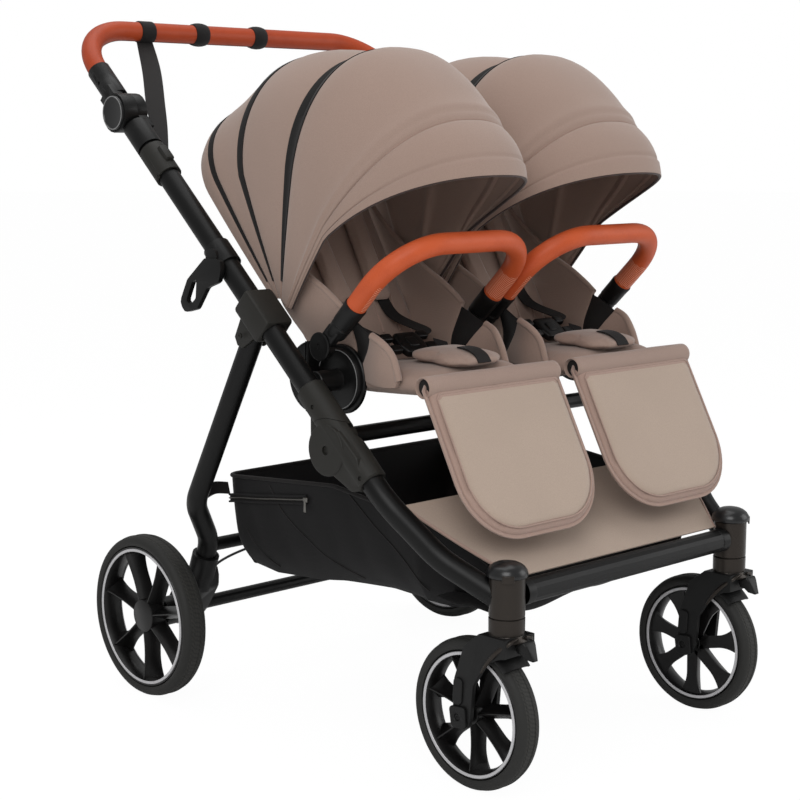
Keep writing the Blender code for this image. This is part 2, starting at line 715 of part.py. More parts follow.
def rear_frame():
    """The part that swings at the rear hinges: legs, bar, axle, brackets and brake."""
    ends = (at(-LEG_FOOT_X, REAR_BAR), at(LEG_FOOT_X, REAR_BAR))
    bar = drum("rear_leg_frame", *ends, REAR_BAR_RADIUS, sides=16)
    for side in SIDES.values():
        bar = join(bar, tube("leg", leg_path(side), LEG_RADIUS))
    black_metal(bar)

    shin = (Vector(LEG_FOOT) - Vector(LEG_SHIN)).normalized()
    for suffix, side in SIDES.items():
        x = side * LEG_FOOT_X
        top, low = (tuple(Vector(LEG_FOOT) - shin * d) for d in (0.050, -0.012))
        sleeve = drum("axle_bracket_" + suffix, at(x, top), at(x, low), LEG_SLEEVE_RADIUS)
        outline = [
            (0.600, 0.215), (0.645, 0.212), (0.700, 0.135),
            (0.667, 0.102), (0.634, 0.135), (0.602, 0.180),
        ]
        outline = filleted(outline, 0.016, 2, True)
        body = side_plate("body", side, BRACKET_INNER_X, BRACKET_OUTER_X, [outline])
        boss = pin("boss", side, REAR_AXLE, BRACKET_OUTER_X - 0.004, BRACKET_BOSS_X, 0.024)
        pin_reach = (BRACKET_BOSS_X - 0.004, REAR_WHEEL_X + 0.0115)
        axle_pin = pin("axle_pin", side, REAR_AXLE, *pin_reach, AXLE_PIN_RADIUS, 12)
        bore = tube("bore", leg_path(side), LEG_RADIUS + GAP)
        dark_plastic(join(cut(join(sleeve, body), bore), boss, axle_pin))
    reach = BRACKET_INNER_X - GAP
    ends = (at(-reach, REAR_AXLE), at(reach, REAR_AXLE))
    black_metal(drum("rear_axle_tube", *ends, REAR_BAR_RADIUS, sides=16))

    pedal_x = BRACKET_INNER_X + 0.020
    pivot = BRAKE_PIVOT
    outline = [polar(pivot, 0.009, angle) for angle in (100, 180, 260)]
    outline += [(0.745, 0.126), (0.775, 0.132), (0.777, 0.142), (0.745, 0.142)]
    pedal = side_plate("brake_pedal", 1.0, pedal_x - 0.018, pedal_x + 0.018, [outline])
    finish(pedal, (0.35, 0.02, 0.015), 0.5)

    half_route = [
        (BRACKET_INNER_X - 0.007, 0.655, 0.160),
        (0.232, 0.657, 0.174),
        (0.205, 0.662, 0.200),
        (0.120, 0.664, 0.216),
    ]
    route = [at(-x, back, up) for x, back, up in half_route]
    route.append(at(0.0, 0.664, 0.220))
    route += [at(x, back, up) for x, back, up in reversed(half_route)]
    ends = [at(side * (BRACKET_INNER_X - GAP), 0.655, 0.160) for side in (-1.0, 1.0)]
    black_metal(tube("brake_cable", [ends[0], *smooth_route(route, 3), ends[1]], CABLE_RADIUS, 1))


def smooth_route(knots, steps):
    """Points on a smooth curve through the knots."""
    points = []
    last = len(knots) - 1
    for i in range(last):
        before, a, b, after = knots[max(i - 1, 0)], knots[i], knots[i + 1], knots[min(i + 2, last)]
        for k in range(steps):
            t = k / steps
            bend = 2 * a + (b - before) * t + (2 * before - 5 * a + 4 * b - after) * t**2
            points.append((bend + (3 * a - before - 3 * b + after) * t**3) / 2)
    points.append(knots[last])
    return points


def basket():
    """The open shopping basket that hangs between the front cross tube and the rear bar."""
    outer = [
        (-0.018, 0.262), (0.040, 0.240), (0.130, 0.234), (0.360, 0.230), (0.500, 0.236),
        (0.550, 0.262), (0.570, 0.372), (0.300, 0.396), (0.085, 0.368), (-0.010, 0.285),
    ]
    inner = [
        (-0.010, 0.268), (0.042, 0.245), (0.131, 0.239), (0.359, 0.235), (0.497, 0.241),
        (0.545, 0.265), (0.567, 0.400), (0.300, 0.420), (0.083, 0.400), (-0.006, 0.310),
    ]
    half = BASKET_HALF_WIDTH
    cloth = 0.005
    bag = side_plate("basket", 1.0, -half, half, [filleted(outer, 0.02, 2, True)])
    room = side_plate("room", 1.0, cloth - half, half - cloth, [filleted(inner, 0.02, 2, True)])
    bag = cut(bag, room)
    for vertex in bag.data.vertices:
        back = vertex.co.y - FRONT_AXLE_Y
        narrow = max(0.0, min(1.0, (0.115 - back) / 0.125))
        low = max(0.0, min(1.0, (0.300 - vertex.co.z) / 0.080))
        vertex.co.x *= 1.0 - 0.24 * narrow - 0.10 * low * (1.0 - narrow)
    black_fabric(bag)


# seats

def seat(suffix, side):
    """Seat pad, harness buckle, backrest, leg rest and bumper bar of one seat."""
    x = side * SEAT_X
    front = LEG_REST_HINGE[0] + 0.0125
    pan = [(front, 0.545), (front, 0.583), (0.200, 0.574), (0.309, 0.570), (0.309, 0.535), (0.200, 0.538)]
    edges = (x - SEAT_HALF_WIDTH, x + SEAT_HALF_WIDTH)
    pan = side_plate("seat_base_" + suffix, 1.0, *edges, [filleted(pan, 0.008, 3, True)])
    taupe_fabric(cut(pan, pin("hub_room", side, HUB, HUB_INNER_X - 0.004, 0.300, HUB_RADIUS + 0.003, 28)))

    case = block("buckle_" + suffix, at(x, BUCKLE), (0.052, 0.016, 0.050), math.radians(-55), 0.004)
    stalk_place = at(x, BUCKLE[0] - 0.006, BUCKLE[1] - 0.020)
    stalk = block("stalk", stalk_place, (0.022, 0.004, 0.034), math.radians(-10))
    dark_plastic(join(case, stalk))

    right_edge = [(0.096, -0.014), (0.096, 0.020), (0.120, 0.048), (0.120, 0.300), (0.095, BACKREST_LENGTH)]
    left_edge = [(-across, up) for across, up in reversed(right_edge)]
    outline = filleted(right_edge + left_edge, 0.020, 2, True)
    board = flat("backrest_" + suffix, [outline], BACKREST_THICKNESS)
    board.matrix_world = Matrix.Translation(at(x, BACKREST_HINGE)) @ Matrix.Rotation(BACKREST_LEAN, 4, "X")
    taupe_fabric(settle(board))

    half = LEG_REST_HALF_WIDTH
    outline = [(-half, 0.004), (half, 0.004), (half, -LEG_REST_LENGTH), (-half, -LEG_REST_LENGTH)]
    rounded = [Vector(outline[0]), Vector(outline[1])]
    rounded += filleted([outline[1], outline[2], outline[3], outline[0]], 0.080, 5)[1:-1]
    pad = flat("leg_rest_" + suffix, [rounded], LEG_REST_THICKNESS)
    pad.matrix_world = Matrix.Translation(at(x, LEG_REST_HINGE)) @ Matrix.Rotation(LEG_REST_DROP, 4, "X")
    pad_fabric(settle(pad))

    reach = Vector(BUMPER_FRONT) - Vector(BUMPER_PIVOT)
    slope = math.atan2(reach.y, -reach.x)
    start = Vector(BUMPER_PIVOT) + reach * 0.10
    corners = [
        at(x - BUMPER_HALF_WIDTH, tuple(start)),
        at(x - BUMPER_HALF_WIDTH, BUMPER_FRONT),
        at(x + BUMPER_HALF_WIDTH, BUMPER_FRONT),
        at(x + BUMPER_HALF_WIDTH, tuple(start)),
    ]
    bar = tube("bumper_bar_" + suffix, filleted(corners, 0.085, 6), BUMPER_RADIUS)
    outer, inner = side * (SEAT_X + BUMPER_HALF_WIDTH), side * (SEAT_X - BUMPER_HALF_WIDTH)
    for place_x, low, high in ((outer, 0.2968, 0.3125), (inner, 0.0088, 0.0290)):
        boss = pin("boss", side, BUMPER_PIVOT, low, high, 0.0185)
        arm_middle = Vector(BUMPER_PIVOT) + reach * 0.09
        arm_size = (high - low - 2 * INSET, 0.042, 0.026)
        arm = block("arm", at(side * (low + high) / 2, tuple(arm_middle)), arm_size, -slope)
        bar = join(bar, boss, arm)
    leather(bar)


def canopy_profile(half_width, side_radius, top_radius, steps=10):
    """Across the hood: up one flat side, over a rounded crown and down the other."""
    crown = []
    for k in range(steps + 1):
        t = -math.cos(math.pi * k / steps)
        rise = (1.0 - abs(t) ** 2.4) ** (1.0 / 2.4)
        crown.append((half_width * t, side_radius + (top_radius - side_radius) * rise))
    return [(-half_width, 0.020), *crown, (half_width, 0.020)]


def canopy(suffix, side):
    """Two nested hood sections that turn about the same pivot."""
    sections = (
        ("canopy_rear_", 0.1425, 0.235, 0.362, 43.0, 108.0),
        ("canopy_front_", 0.1490, 0.225, 0.372, 100.0, 148.0),
    )
    for label, half_width, side_radius, top_radius, low, high in sections:
        profile = canopy_profile(half_width, side_radius, top_radius)
        steps = round((high - low) / 8)
        hood = turned(label + suffix, profile, False, steps, math.radians(low), math.radians(high - low))
        cloth = hood.modifiers.new("cloth", "SOLIDIFY")
        cloth.thickness = CANOPY_CLOTH
        cloth.offset = 1.0
        hood.matrix_world = Matrix.Translation(at(side * SEAT_X, CANOPY_PIVOT))
        taupe_fabric(settle(hood))


wheels()
for label, direction in SIDES.items():
    upper_frame(label, direction)
    castor(label, direction)
    seat(label, direction)
    canopy(label, direction)
cup_holder_bracket()
seat_supports()
handle()
front_frame()
rear_frame()
basket()
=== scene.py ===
"""Side-by-side double stroller: the looks of the folding frame, wheels, seats, hoods and basket.

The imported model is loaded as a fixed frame, in metres with +Z up, and the stroller faces -Y. Names
end in _r for the pusher's right, which is -X and nearest the camera, and in _l for the left.
"""

import json
import math

import bpy
from mathutils import Matrix, Vector


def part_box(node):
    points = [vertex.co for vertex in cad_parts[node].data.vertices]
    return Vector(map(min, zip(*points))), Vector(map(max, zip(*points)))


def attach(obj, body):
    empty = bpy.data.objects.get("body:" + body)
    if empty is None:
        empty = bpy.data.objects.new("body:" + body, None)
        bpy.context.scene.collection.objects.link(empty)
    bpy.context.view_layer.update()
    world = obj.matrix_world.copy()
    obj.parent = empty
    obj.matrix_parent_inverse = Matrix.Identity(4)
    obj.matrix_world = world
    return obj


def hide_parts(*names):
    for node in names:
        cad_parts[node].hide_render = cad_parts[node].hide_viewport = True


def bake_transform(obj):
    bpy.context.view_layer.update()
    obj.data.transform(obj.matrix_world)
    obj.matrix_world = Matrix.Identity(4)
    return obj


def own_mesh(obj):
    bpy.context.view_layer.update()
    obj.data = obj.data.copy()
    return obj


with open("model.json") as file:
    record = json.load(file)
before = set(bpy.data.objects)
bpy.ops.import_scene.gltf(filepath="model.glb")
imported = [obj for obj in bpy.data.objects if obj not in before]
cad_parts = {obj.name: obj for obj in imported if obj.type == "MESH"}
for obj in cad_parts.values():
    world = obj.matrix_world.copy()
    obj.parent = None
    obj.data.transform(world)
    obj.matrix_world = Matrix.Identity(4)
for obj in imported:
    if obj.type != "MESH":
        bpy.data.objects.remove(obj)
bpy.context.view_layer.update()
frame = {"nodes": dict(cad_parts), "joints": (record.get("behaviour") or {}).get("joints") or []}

# Studio
# A white floor that runs past the view, a white surround, and soft boxes as in a catalogue
# photograph. The camera stands off the stroller's front right corner, just below its hoods' tops.

LENS, SENSOR = 76.9, 36.0
CAMERA_PLACE = Vector((-1.932, -2.0069, 0.909))
CAMERA_AIM = Vector((0.6783, 0.7195, -0.1492))


class Wire:
    """A shader socket, or its node's output, that Python's arithmetic joins with Math nodes."""

    def __init__(self, finish, socket):
        self.finish = finish
        self.socket = socket

    def math(self, operation, *values):
        return self.finish.node("Math", {"operation": operation}, dict(enumerate(values)))

    def __add__(self, other):
        return self.math("ADD", self, other)

    __radd__ = __add__

    def __mul__(self, other):
        return self.math("MULTIPLY", self, other)

    __rmul__ = __mul__

    def __sub__(self, other):
        return self.math("SUBTRACT", self, other)

    def __rsub__(self, other):
        return self.math("SUBTRACT", other, self)

    def __gt__(self, other):
        return self.math("GREATER_THAN", self, other)

    def __lt__(self, other):
        return self.math("LESS_THAN", self, other)


class Finish:
    """A material whose nodes are added by type, with their settings and their sockets."""

    def __init__(self, name, slot, colour, roughness, **shader_sockets):
        self.slot = slot
        self.material = bpy.data.materials.new(name)
        self.material.use_nodes = True
        self.tree = self.material.node_tree
        self.shader = self.tree.nodes["Principled BSDF"]
        self.set("Base Color", (*colour, 1.0))
        self.set("Roughness", roughness)
        for socket, value in shader_sockets.items():
            self.set(socket.replace("_", " "), value)

    def join(self, socket, value):
        if isinstance(value, Wire):
            self.tree.links.new(value.socket, socket)
        else:
            socket.default_value = value

    def set(self, socket, value):
        self.join(self.shader.inputs[socket], value)

    def node(self, kind, settings, sockets, output=0):
        node = self.tree.nodes.new("ShaderNode" + kind)
        for key, value in settings.items():
            if key == "stops":
                for stop, (place, shade) in zip(node.color_ramp.elements, value):
                    stop.position = place
                    stop.color = (shade, shade, shade, 1.0)
            else:
                setattr(node, key, value)
        for key, value in sockets.items():
            self.join(node.inputs[key], value)
        return Wire(self, node.outputs[output])

    def place(self, output="Object"):
        return self.node("TexCoord", {}, {}, output)

    def noise(self, scale, detail=2.0, place=None):
        place = place or self.place()
        return self.node("TexNoise", {}, {"Vector": place, "Scale": scale, "Detail": detail})

    def blend(self, share, one, other):
        one, other = (c if isinstance(c, Wire) else (*c, 1.0) for c in (one, other))
        return self.node("Mix", {"data_type": "RGBA"}, {0: share, 6: one, 7: other}, 2)

    def bump(self, height, depth, strength=1.0):
        raised = self.node("Bump", {}, {"Strength": strength, "Distance": depth, "Height": height})
        self.set("Normal", raised)

    def weather(self, roughness, spread, patches, grain=None):
        """Gloss that varies in soft patches, and a fine grain of (scale, detail, depth, strength)."""
        self.set("Roughness", roughness + spread * self.noise(patches))
        if grain:
            scale, detail, depth, strength = grain
            self.bump(self.noise(scale, detail), depth, strength)
        return self


def only(*pieces):
    """Leave just these objects selected, the last one active."""
    bpy.ops.object.select_all(action="DESELECT")
    for piece in pieces:
        piece.select_set(True)
    bpy.context.view_layer.objects.active = pieces[-1]


def wear(piece, finish):
    """Give the piece one finish."""
    piece.data.materials.clear()
    piece.data.materials.append(finish.material)
    return piece


bpy.ops.object.camera_add(location=CAMERA_PLACE)
camera = bpy.context.object
camera.rotation_euler = CAMERA_AIM.to_track_quat("-Z", "Y").to_euler()
camera.data.lens = LENS
camera.data.sensor_width = SENSOR
bpy.context.scene.camera = camera

bpy.ops.mesh.primitive_circle_add(vertices=64, radius=30.0, fill_type="NGON", location=(0, 0, -0.0005))
floor = bpy.context.object
floor.name = "studio_floor"
floor_finish = Finish("white_floor", None, (0.9, 0.9, 0.9), 0.9, Specular_IOR_Level=0.1)
seen = floor_finish.node("LightPath", {}, {}, "Is Camera Ray")
glow = floor_finish.node("Emission", {}, {"Color": (1, 1, 1, 1), "Strength": 1.03})
shader_out = Wire(floor_finish, floor_finish.shader.outputs[0])
mixed = floor_finish.node("MixShader", {}, {0: seen * 0.94, 1: shader_out, 2: glow})
floor_finish.tree.links.new(mixed.socket, floor_finish.tree.nodes["Material Output"].inputs["Surface"])
wear(floor, floor_finish)

world = bpy.data.worlds.new("white_studio")
bpy.context.scene.world = world
world.use_nodes = True
sky = world.node_tree.nodes["Background"]
path = world.node_tree.nodes.new("ShaderNodeLightPath")
white = world.node_tree.nodes.new("ShaderNodeBackground")
white.inputs["Strength"].default_value = 1.0
white.inputs["Color"].default_value = (1, 1, 1, 1)
sky.inputs["Color"].default_value = (1, 1, 1, 1)
sky.inputs["Strength"].default_value = 0.45
choice = world.node_tree.nodes.new("ShaderNodeMixShader")
world.node_tree.links.new(path.outputs["Is Camera Ray"], choice.inputs[0])
world.node_tree.links.new(sky.outputs[0], choice.inputs[1])
world.node_tree.links.new(white.outputs[0], choice.inputs[2])
world.node_tree.links.new(choice.outputs[0], world.node_tree.nodes["World Output"].inputs["Surface"])

for name, place, size, power in (
    ("key_softbox", (-2.6, -2.2, 2.6), 2.2, 62.0),
    ("fill_softbox", (2.8, -2.6, 1.6), 2.4, 34.0),
    ("top_softbox", (0.0, 0.4, 3.2), 2.6, 30.0),
):
    bpy.ops.object.light_add(type="AREA", location=place)
    lamp = bpy.context.object
    lamp.name = name
    lamp.data.size = size
    lamp.data.energy = power
    lamp.rotation_euler = (Vector((0.0, 0.0, 0.55)) - Vector(place)).to_track_quat("-Z", "Y").to_euler()
bpy.context.scene.view_settings.view_transform = "Standard"

# Frame tubes
# Round aluminium tubes with a satin black powder coat: the long side tubes, the bent lower tubes
# that run to the castors, the front and seat cross tubes, and the rear legs with their welded bar.

JOINTS = {joint["name"]: joint for joint in frame["joints"]}
SIDES = {"r": -1.0, "l": 1.0}
SIDE_LEAN = math.radians(41.7)
TUBE_RADIUS = 0.0175
LEG_RADIUS = 0.0165
SIDE_X = 0.338
AXLE_Y = sum(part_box("front_rim_r")[k].y for k in (0, 1)) / 2
HANDLE_PIVOT = Vector(JOINTS["handle_tilt"]["pos_m"])


def at(x, back, up):
    """World point from x, the distance behind the front axle and the height."""
    return Vector((x, AXLE_Y + back, up))


def beside(x, distance, offset=0.0):
    """World point up the side tube's line from the handle pivot, moved by offset square to it."""
    back = distance * math.cos(SIDE_LEAN) - offset * math.sin(SIDE_LEAN)
    up = distance * math.sin(SIDE_LEAN) + offset * math.cos(SIDE_LEAN)
    return Vector((x, HANDLE_PIVOT.y + back, HANDLE_PIVOT.z + up))


def rounded(corners, radius, steps=8, closed=False):
    """The corners with each inner one replaced by an arc, which may use up most of an end arm."""
    corners = [Vector(c) for c in corners]
    points = []
    for i, corner in enumerate(corners):
        if not closed and i in (0, len(corners) - 1):
            points.append(corner)
            continue
        before = corners[i - 1] - corner
        after = corners[(i + 1) % len(corners)] - corner
        half_angle = before.angle(after) / 2
        free_before = 0.98 if not closed and i == 1 else 0.49
        free_after = 0.98 if not closed and i == len(corners) - 2 else 0.49
        reach = radius / math.tan(half_angle)
        reach = min(reach, free_before * before.length, free_after * after.length)
        middle = (before.normalized() + after.normalized()).normalized() * reach / math.cos(half_angle)
        start, end = before.normalized() * reach - middle, after.normalized() * reach - middle
        size = start.length
        start, end = start.normalized(), end.normalized()
        points += [corner + middle + size * start.slerp(end, k / steps) for k in range(steps + 1)]
    return points


def grid(name, across, along, place):
    """A sheet of faces, each corner set by place(u, v) with u and v from 0 to 1."""
    bpy.ops.object.select_all(action="DESELECT")
    bpy.ops.mesh.primitive_grid_add(x_subdivisions=across, y_subdivisions=along, size=2.0)
    piece = bpy.context.object
    piece.name = name
    for vertex in piece.data.vertices:
        vertex.co = place((vertex.co.x + 1) / 2, (vertex.co.y + 1) / 2)
    return piece


def clean(piece, caps=False):
    """Merge the seam of a wrapped sheet, close its ends and turn its faces outwards."""
    only(piece)
    bpy.ops.object.mode_set(mode="EDIT")
    bpy.ops.mesh.select_all(action="SELECT")
    bpy.ops.mesh.remove_doubles(threshold=0.00001)
    if caps:
        bpy.ops.mesh.fill_holes(sides=0)
        bpy.ops.mesh.select_all(action="SELECT")
    bpy.ops.mesh.normals_make_consistent(inside=False)
    bpy.ops.object.mode_set(mode="OBJECT")
    return piece


def smooth(piece, angle=40.0):
    """Shade the piece smooth, except across edges sharper than the angle."""
    only(piece)
    bpy.ops.object.shade_smooth_by_angle(angle=math.radians(angle))
    return piece


def run_along(points):
    """For each point of a path, its share of the length and two directions square to the path."""
    total = sum((b - a).length for a, b in zip(points, points[1:]))
    across = None
    stations, gone = [], 0.0
    for i, point in enumerate(points):
        ahead = (points[min(i + 1, len(points) - 1)] - points[max(i - 1, 0)]).normalized()
        if across is None:
            across = ahead.orthogonal()
        across = (across - across.dot(ahead) * ahead).normalized()
        if i:
            gone += (point - points[i - 1]).length
        stations.append((gone / total, across.copy(), ahead.cross(across)))
    return stations


def tube(name, points, radius, sides=24, flatten=1.0):
    """A round bar along the points. The radius is a number or a function of the share of the length."""
    points = [Vector(p) for p in points]
    stations = run_along(points)
    last = len(points) - 1

    def wrap(u, v):
        k = round(v * last)
        share, across, square = stations[k]
        size = radius(share) if callable(radius) else radius
        turn = 2 * math.pi * u
        return points[k] + size * (math.cos(turn) * across + flatten * math.sin(turn) * square)

    return smooth(clean(grid(name, sides, last, wrap), caps=True), 50)


def paint(red, green, blue):
    """A colour read as 0 to 255 screen values, turned into the shader's linear values."""
    screen = (red / 255, green / 255, blue / 255)
    return tuple(c / 12.92 if c <= 0.04045 else ((c + 0.055) / 1.055) ** 2.4 for c in screen)


def dress(piece, finish, body, *nodes, slot=None):
    """The piece with its finish, the plain parts it stands for and the body it rides. The slot is not used.
    """
    wear(piece, finish)
    slot or finish.slot
    if nodes:
        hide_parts(*nodes)
    if body:
        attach(piece, body)
    return piece


coat = Finish("satin_black_coat", "black_metal", paint(9, 9, 9), 0.4, Specular_IOR_Level=0.24)
coat.weather(0.34, 0.12, 14.0, (900.0, 3.0, 0.00012, 0.5))

for name in ("front_cross_tube", "seat_cross_tube", "rear_axle_tube"):
    wear(frame["nodes"][name], coat)

for suffix, side in SIDES.items():
    straight = [beside(side * SIDE_X, -0.6649), beside(side * SIDE_X, -0.037)]
    main_tube = tube("side_tube_" + suffix, straight, TUBE_RADIUS, 32)
    dress(main_tube, coat, "frame", "main_tube_" + suffix)
    bend = [beside(side * SIDE_X, -0.7369), beside(side * SIDE_X, -0.8182)]
    bend += [at(side * 0.299, 0.031, 0.334), at(side * 0.262, -0.053, 0.286)]
    lower_tube = tube("castor_tube_" + suffix, rounded(bend, 0.16, 10), TUBE_RADIUS, 32)
    dress(lower_tube, coat, "front_frame", "lower_tube_" + suffix)

LEG_X, FOOT_X = 0.33, 0.276
for suffix, side in SIDES.items():
    leg = [at(side * LEG_X, 0.395, 0.631), at(side * LEG_X, 0.558, 0.337)]
    leg += [at(side * FOOT_X, 0.594, 0.262), at(side * FOOT_X, 0.622, 0.19)]
    rear_leg = tube("rear_leg_" + suffix, rounded(leg, 0.07, 10), LEG_RADIUS, 32)
    dress(rear_leg, coat, "rear_frame", *(["rear_leg_frame"] if suffix == "r" else []))
rear_bar = tube("rear_bar", [at(-FOOT_X, 0.597, 0.252), at(FOOT_X, 0.597, 0.252)], 0.011, 24)
dress(rear_bar, coat, "rear_frame")

# Cloth finishes
# The covers are a melange polyester woven from brown and grey yarns, brushed matt. The leg rests
# and the apron have a paler cut of the same cloth, and the basket is black nylon.


def woven(name, slot, base, tint, thread, roughness=0.86, sheen=0.25):
    """Cloth on Object coordinates: two crossed sets of threads, flecks of the tint and soft shade."""
    cloth = Finish(
        name, slot, base, roughness, Sheen_Weight=sheen, Sheen_Roughness=0.5, Specular_IOR_Level=0.25
    )
    fleck = cloth.noise(1.0 / thread, 2.0)
    shade = cloth.noise(7.0, 2.0)
    share = (fleck - 0.35) * 1.6
    tinted = cloth.blend(cloth.node("Clamp", {}, {0: share}), base, tint)
    darker = tuple(0.86 * c for c in base)
    shaded = cloth.node("Clamp", {}, {0: (shade - 0.42) * 1.5})
    cloth.set("Base Color", cloth.blend(shaded, tinted, darker))
    warp, weft = (
        cloth.node("TexWave", {"bands_direction": way}, {"Vector": cloth.place(), "Scale": 0.314 / thread})
        for way in "XZ"
    )
    cloth.bump((warp + weft) * 0.3 + fleck * 0.9, 0.00025, 0.55)
    return cloth


cover = woven("taupe_cover_cloth", "taupe_fabric", paint(158, 135, 123), paint(138, 117, 107), 0.0011)
pale = woven("pale_panel_cloth", "pad_fabric", paint(176, 157, 142), paint(160, 143, 130), 0.0013)
edging = woven("edge_binding_cloth", "pad_fabric", paint(166, 140, 128), paint(146, 122, 112), 0.0009)
webbing = woven("black_webbing", "black_fabric", paint(20, 18, 18), paint(34, 31, 30), 0.0016, 0.75, 0.06)
nylon = woven(
    "black_basket_nylon", "black_fabric", paint(14, 13, 14), paint(24, 23, 24), 0.0012, 0.75, 0.05,
)
brown_tape = woven("dark_brown_binding", "taupe_fabric", paint(52, 38, 34), paint(70, 52, 47), 0.0009)

# Hoods
# Each hood is one sewn cloth of five gores stretched over flat bows that turn about a hinge beside
# the backrest. Zips run up three of the seams, and the stiffened visor is stitched on in front.

CANOPY_PIVOT = (0.379, 0.674)
SEAT_X = 0.157
# Place along the hood, foot's back and up, side angle and radius, crown angle and radius, half width
BOWS = (
    (0.0, 0.016, -0.006, 43.0, 0.235, 50.0, 0.345, 0.145),
    (0.13, 0.01, 0.0, 50.5, 0.235, 55.5, 0.35, 0.146),
    (0.32, 0.004, 0.0, 65.0, 0.205, 80.0, 0.372, 0.146),
    (0.5, -0.002, 0.0, 101.0, 0.205, 103.0, 0.368, 0.148),
    (0.8, -0.024, -0.011, 135.0, 0.165, 134.0, 0.378, 0.153),
    (1.0, -0.03, -0.012, 140.0, 0.15, 149.5, 0.372, 0.15),
)
# How far the gore after each bow swells and how early
SWELLS = ((0.003, 1.0), (-0.011, 1.0), (0.005, 1.0), (0.025, 0.5), (0.009, 1.0))
# Place of each zip along the hood, half the width of its tape and of its groove
ZIPS = ((0.13, 0.017, 0.016), (0.32, 0.013, 0.013), (0.5, 0.019, 0.018))
# Share of the hood's width that is its straight side, how round its crown is, how far it draws in
# at its foot, and how much of a gore's swell goes sideways
SIDE_SHARE = 0.42
CROWN_ROUNDNESS = 2.4
FOOT_PINCH = 0.008
SWELL_SIDEWAYS = 0.2


def hood_point(x, u, v):
    """A point of the hood: u goes across from its -X foot to its +X foot, v from back to front."""
    low, high, (swell, early) = next(g for g in zip(BOWS, BOWS[1:], SWELLS) if v <= g[1][0] + 1e-6)
    share = (v - low[0]) / (high[0] - low[0])
    foot_back, foot_up, side_angle, side_reach, crown_angle, crown_reach, half = (
        a + (b - a) * share for a, b in zip(low[1:], high[1:])
    )
    swell *= math.sin(math.pi * min(1.0, max(0.0, share)) ** early)
    edge, sign = min(u, 1 - u) * 2, -1.0 if u < 0.5 else 1.0
    if edge < SIDE_SHARE:
        rise = edge / SIDE_SHARE
        angle = math.radians(side_angle)
        across = half - FOOT_PINCH * (1 - rise) ** 2 + SWELL_SIDEWAYS * swell * rise
        back = foot_back + (side_reach * math.cos(angle) - foot_back) * rise
        up = foot_up + (side_reach * math.sin(angle) - foot_up) * rise
    else:
        arc = min(1.0, (edge - SIDE_SHARE) / (1 - SIDE_SHARE)) * math.pi / 2
        inwards = max(0.0, math.cos(arc)) ** (2 / CROWN_ROUNDNESS)
        rise = max(0.0, math.sin(arc)) ** (2 / CROWN_ROUNDNESS)
        angle = math.radians(side_angle + (crown_angle - side_angle) * rise)
        reach = side_reach + (crown_reach + swell - side_reach) * rise
        across = (half + SWELL_SIDEWAYS * swell) * inwards
        back, up = reach * math.cos(angle), reach * math.sin(angle)
    return at(x + sign * across, CANOPY_PIVOT[0] + back, CANOPY_PIVOT[1] + up)


def hood_skin(x, u, v, proud):
    """A point this far outside the hood's surface."""
    step = 0.004
    u, v = min(max(u, 0.001), 0.999), min(max(v, 0.0), 1.0)
    low_u, high_u = max(u - step, 0.0), min(u + step, 1.0)
    low_v, high_v = max(v - step, 0.0), min(v + step, 1.0)
    across = hood_point(x, high_u, v) - hood_point(x, low_u, v)
    along = hood_point(x, u, high_v) - hood_point(x, u, low_v)
    return hood_point(x, u, v) + proud * across.cross(along).normalized() * -1.0


def ripple(v, centre, width):
    """A smooth bump of height one round the centre."""
    return math.exp(-(((v - centre) / width) ** 2))


def hood_relief(v):
    """Grooves at the zips and seams, the roll above the visor and the folded hem."""
    depth = -0.003 * sum(ripple(v, place, groove) for place, tape, groove in ZIPS)
    depth += 0.003 * ripple(v, 0.77, 0.014) + 0.0016 * ripple(v, 0.795, 0.006)
    depth -= 0.0028 * ripple(v, 0.812, 0.006)
    depth -= 0.0014 * ripple(v, 0.945, 0.005)
    depth += 0.0016 * (1 if v > 0.95 else 0)
    return depth


def ruled(first, last, steps, knots):
    """Places from first to last, closer together round the knots."""
    places = [first + (last - first) * i / steps for i in range(steps + 1)]
    for knot in knots:
        places += [knot + k * 0.005 for k in range(-3, 4)]
    return sorted({round(min(max(p, first), last), 5) for p in places})


ROWS = ruled(0.0, 1.0, 50, (0.13, 0.32, 0.5, 0.78, 0.81, 0.945, 0.985))
COLUMNS = [0.5 - 0.5 * math.copysign(abs(1 - i / 44) ** 0.93, 1 - i / 44) for i in range(89)]


def applied(piece, kind, **settings):
    """The piece with one modifier, set so, applied."""
    only(piece)
    step = piece.modifiers.new("step", kind)
    for key, value in settings.items():
        setattr(step, key, value)
    bpy.ops.object.modifier_apply(modifier="step")
    return piece


def thicken(piece, thickness, offset=-1.0):
    """The sheet as a cloth or plate this thick."""
    return applied(piece, "SOLIDIFY", thickness=thickness, offset=offset)


def joined(name, *pieces):
    """The pieces joined into the last one, under this name."""
    only(*pieces)
    bpy.ops.object.join()
    pieces[-1].name = name
    return pieces[-1]


def strip(name, x, columns, centre, half, proud):
    """A tape laid along the hood at one place, a little proud of the cloth."""

    def lay(u, v):
        k = round(u * (len(columns) - 1))
        return hood_skin(
            x, columns[k], centre + (2 * v - 1) * half, proud * (1 - 0.5 * abs(2 * v - 1) ** 3),
        )

    return grid(name, len(columns) - 1, 4, lay)


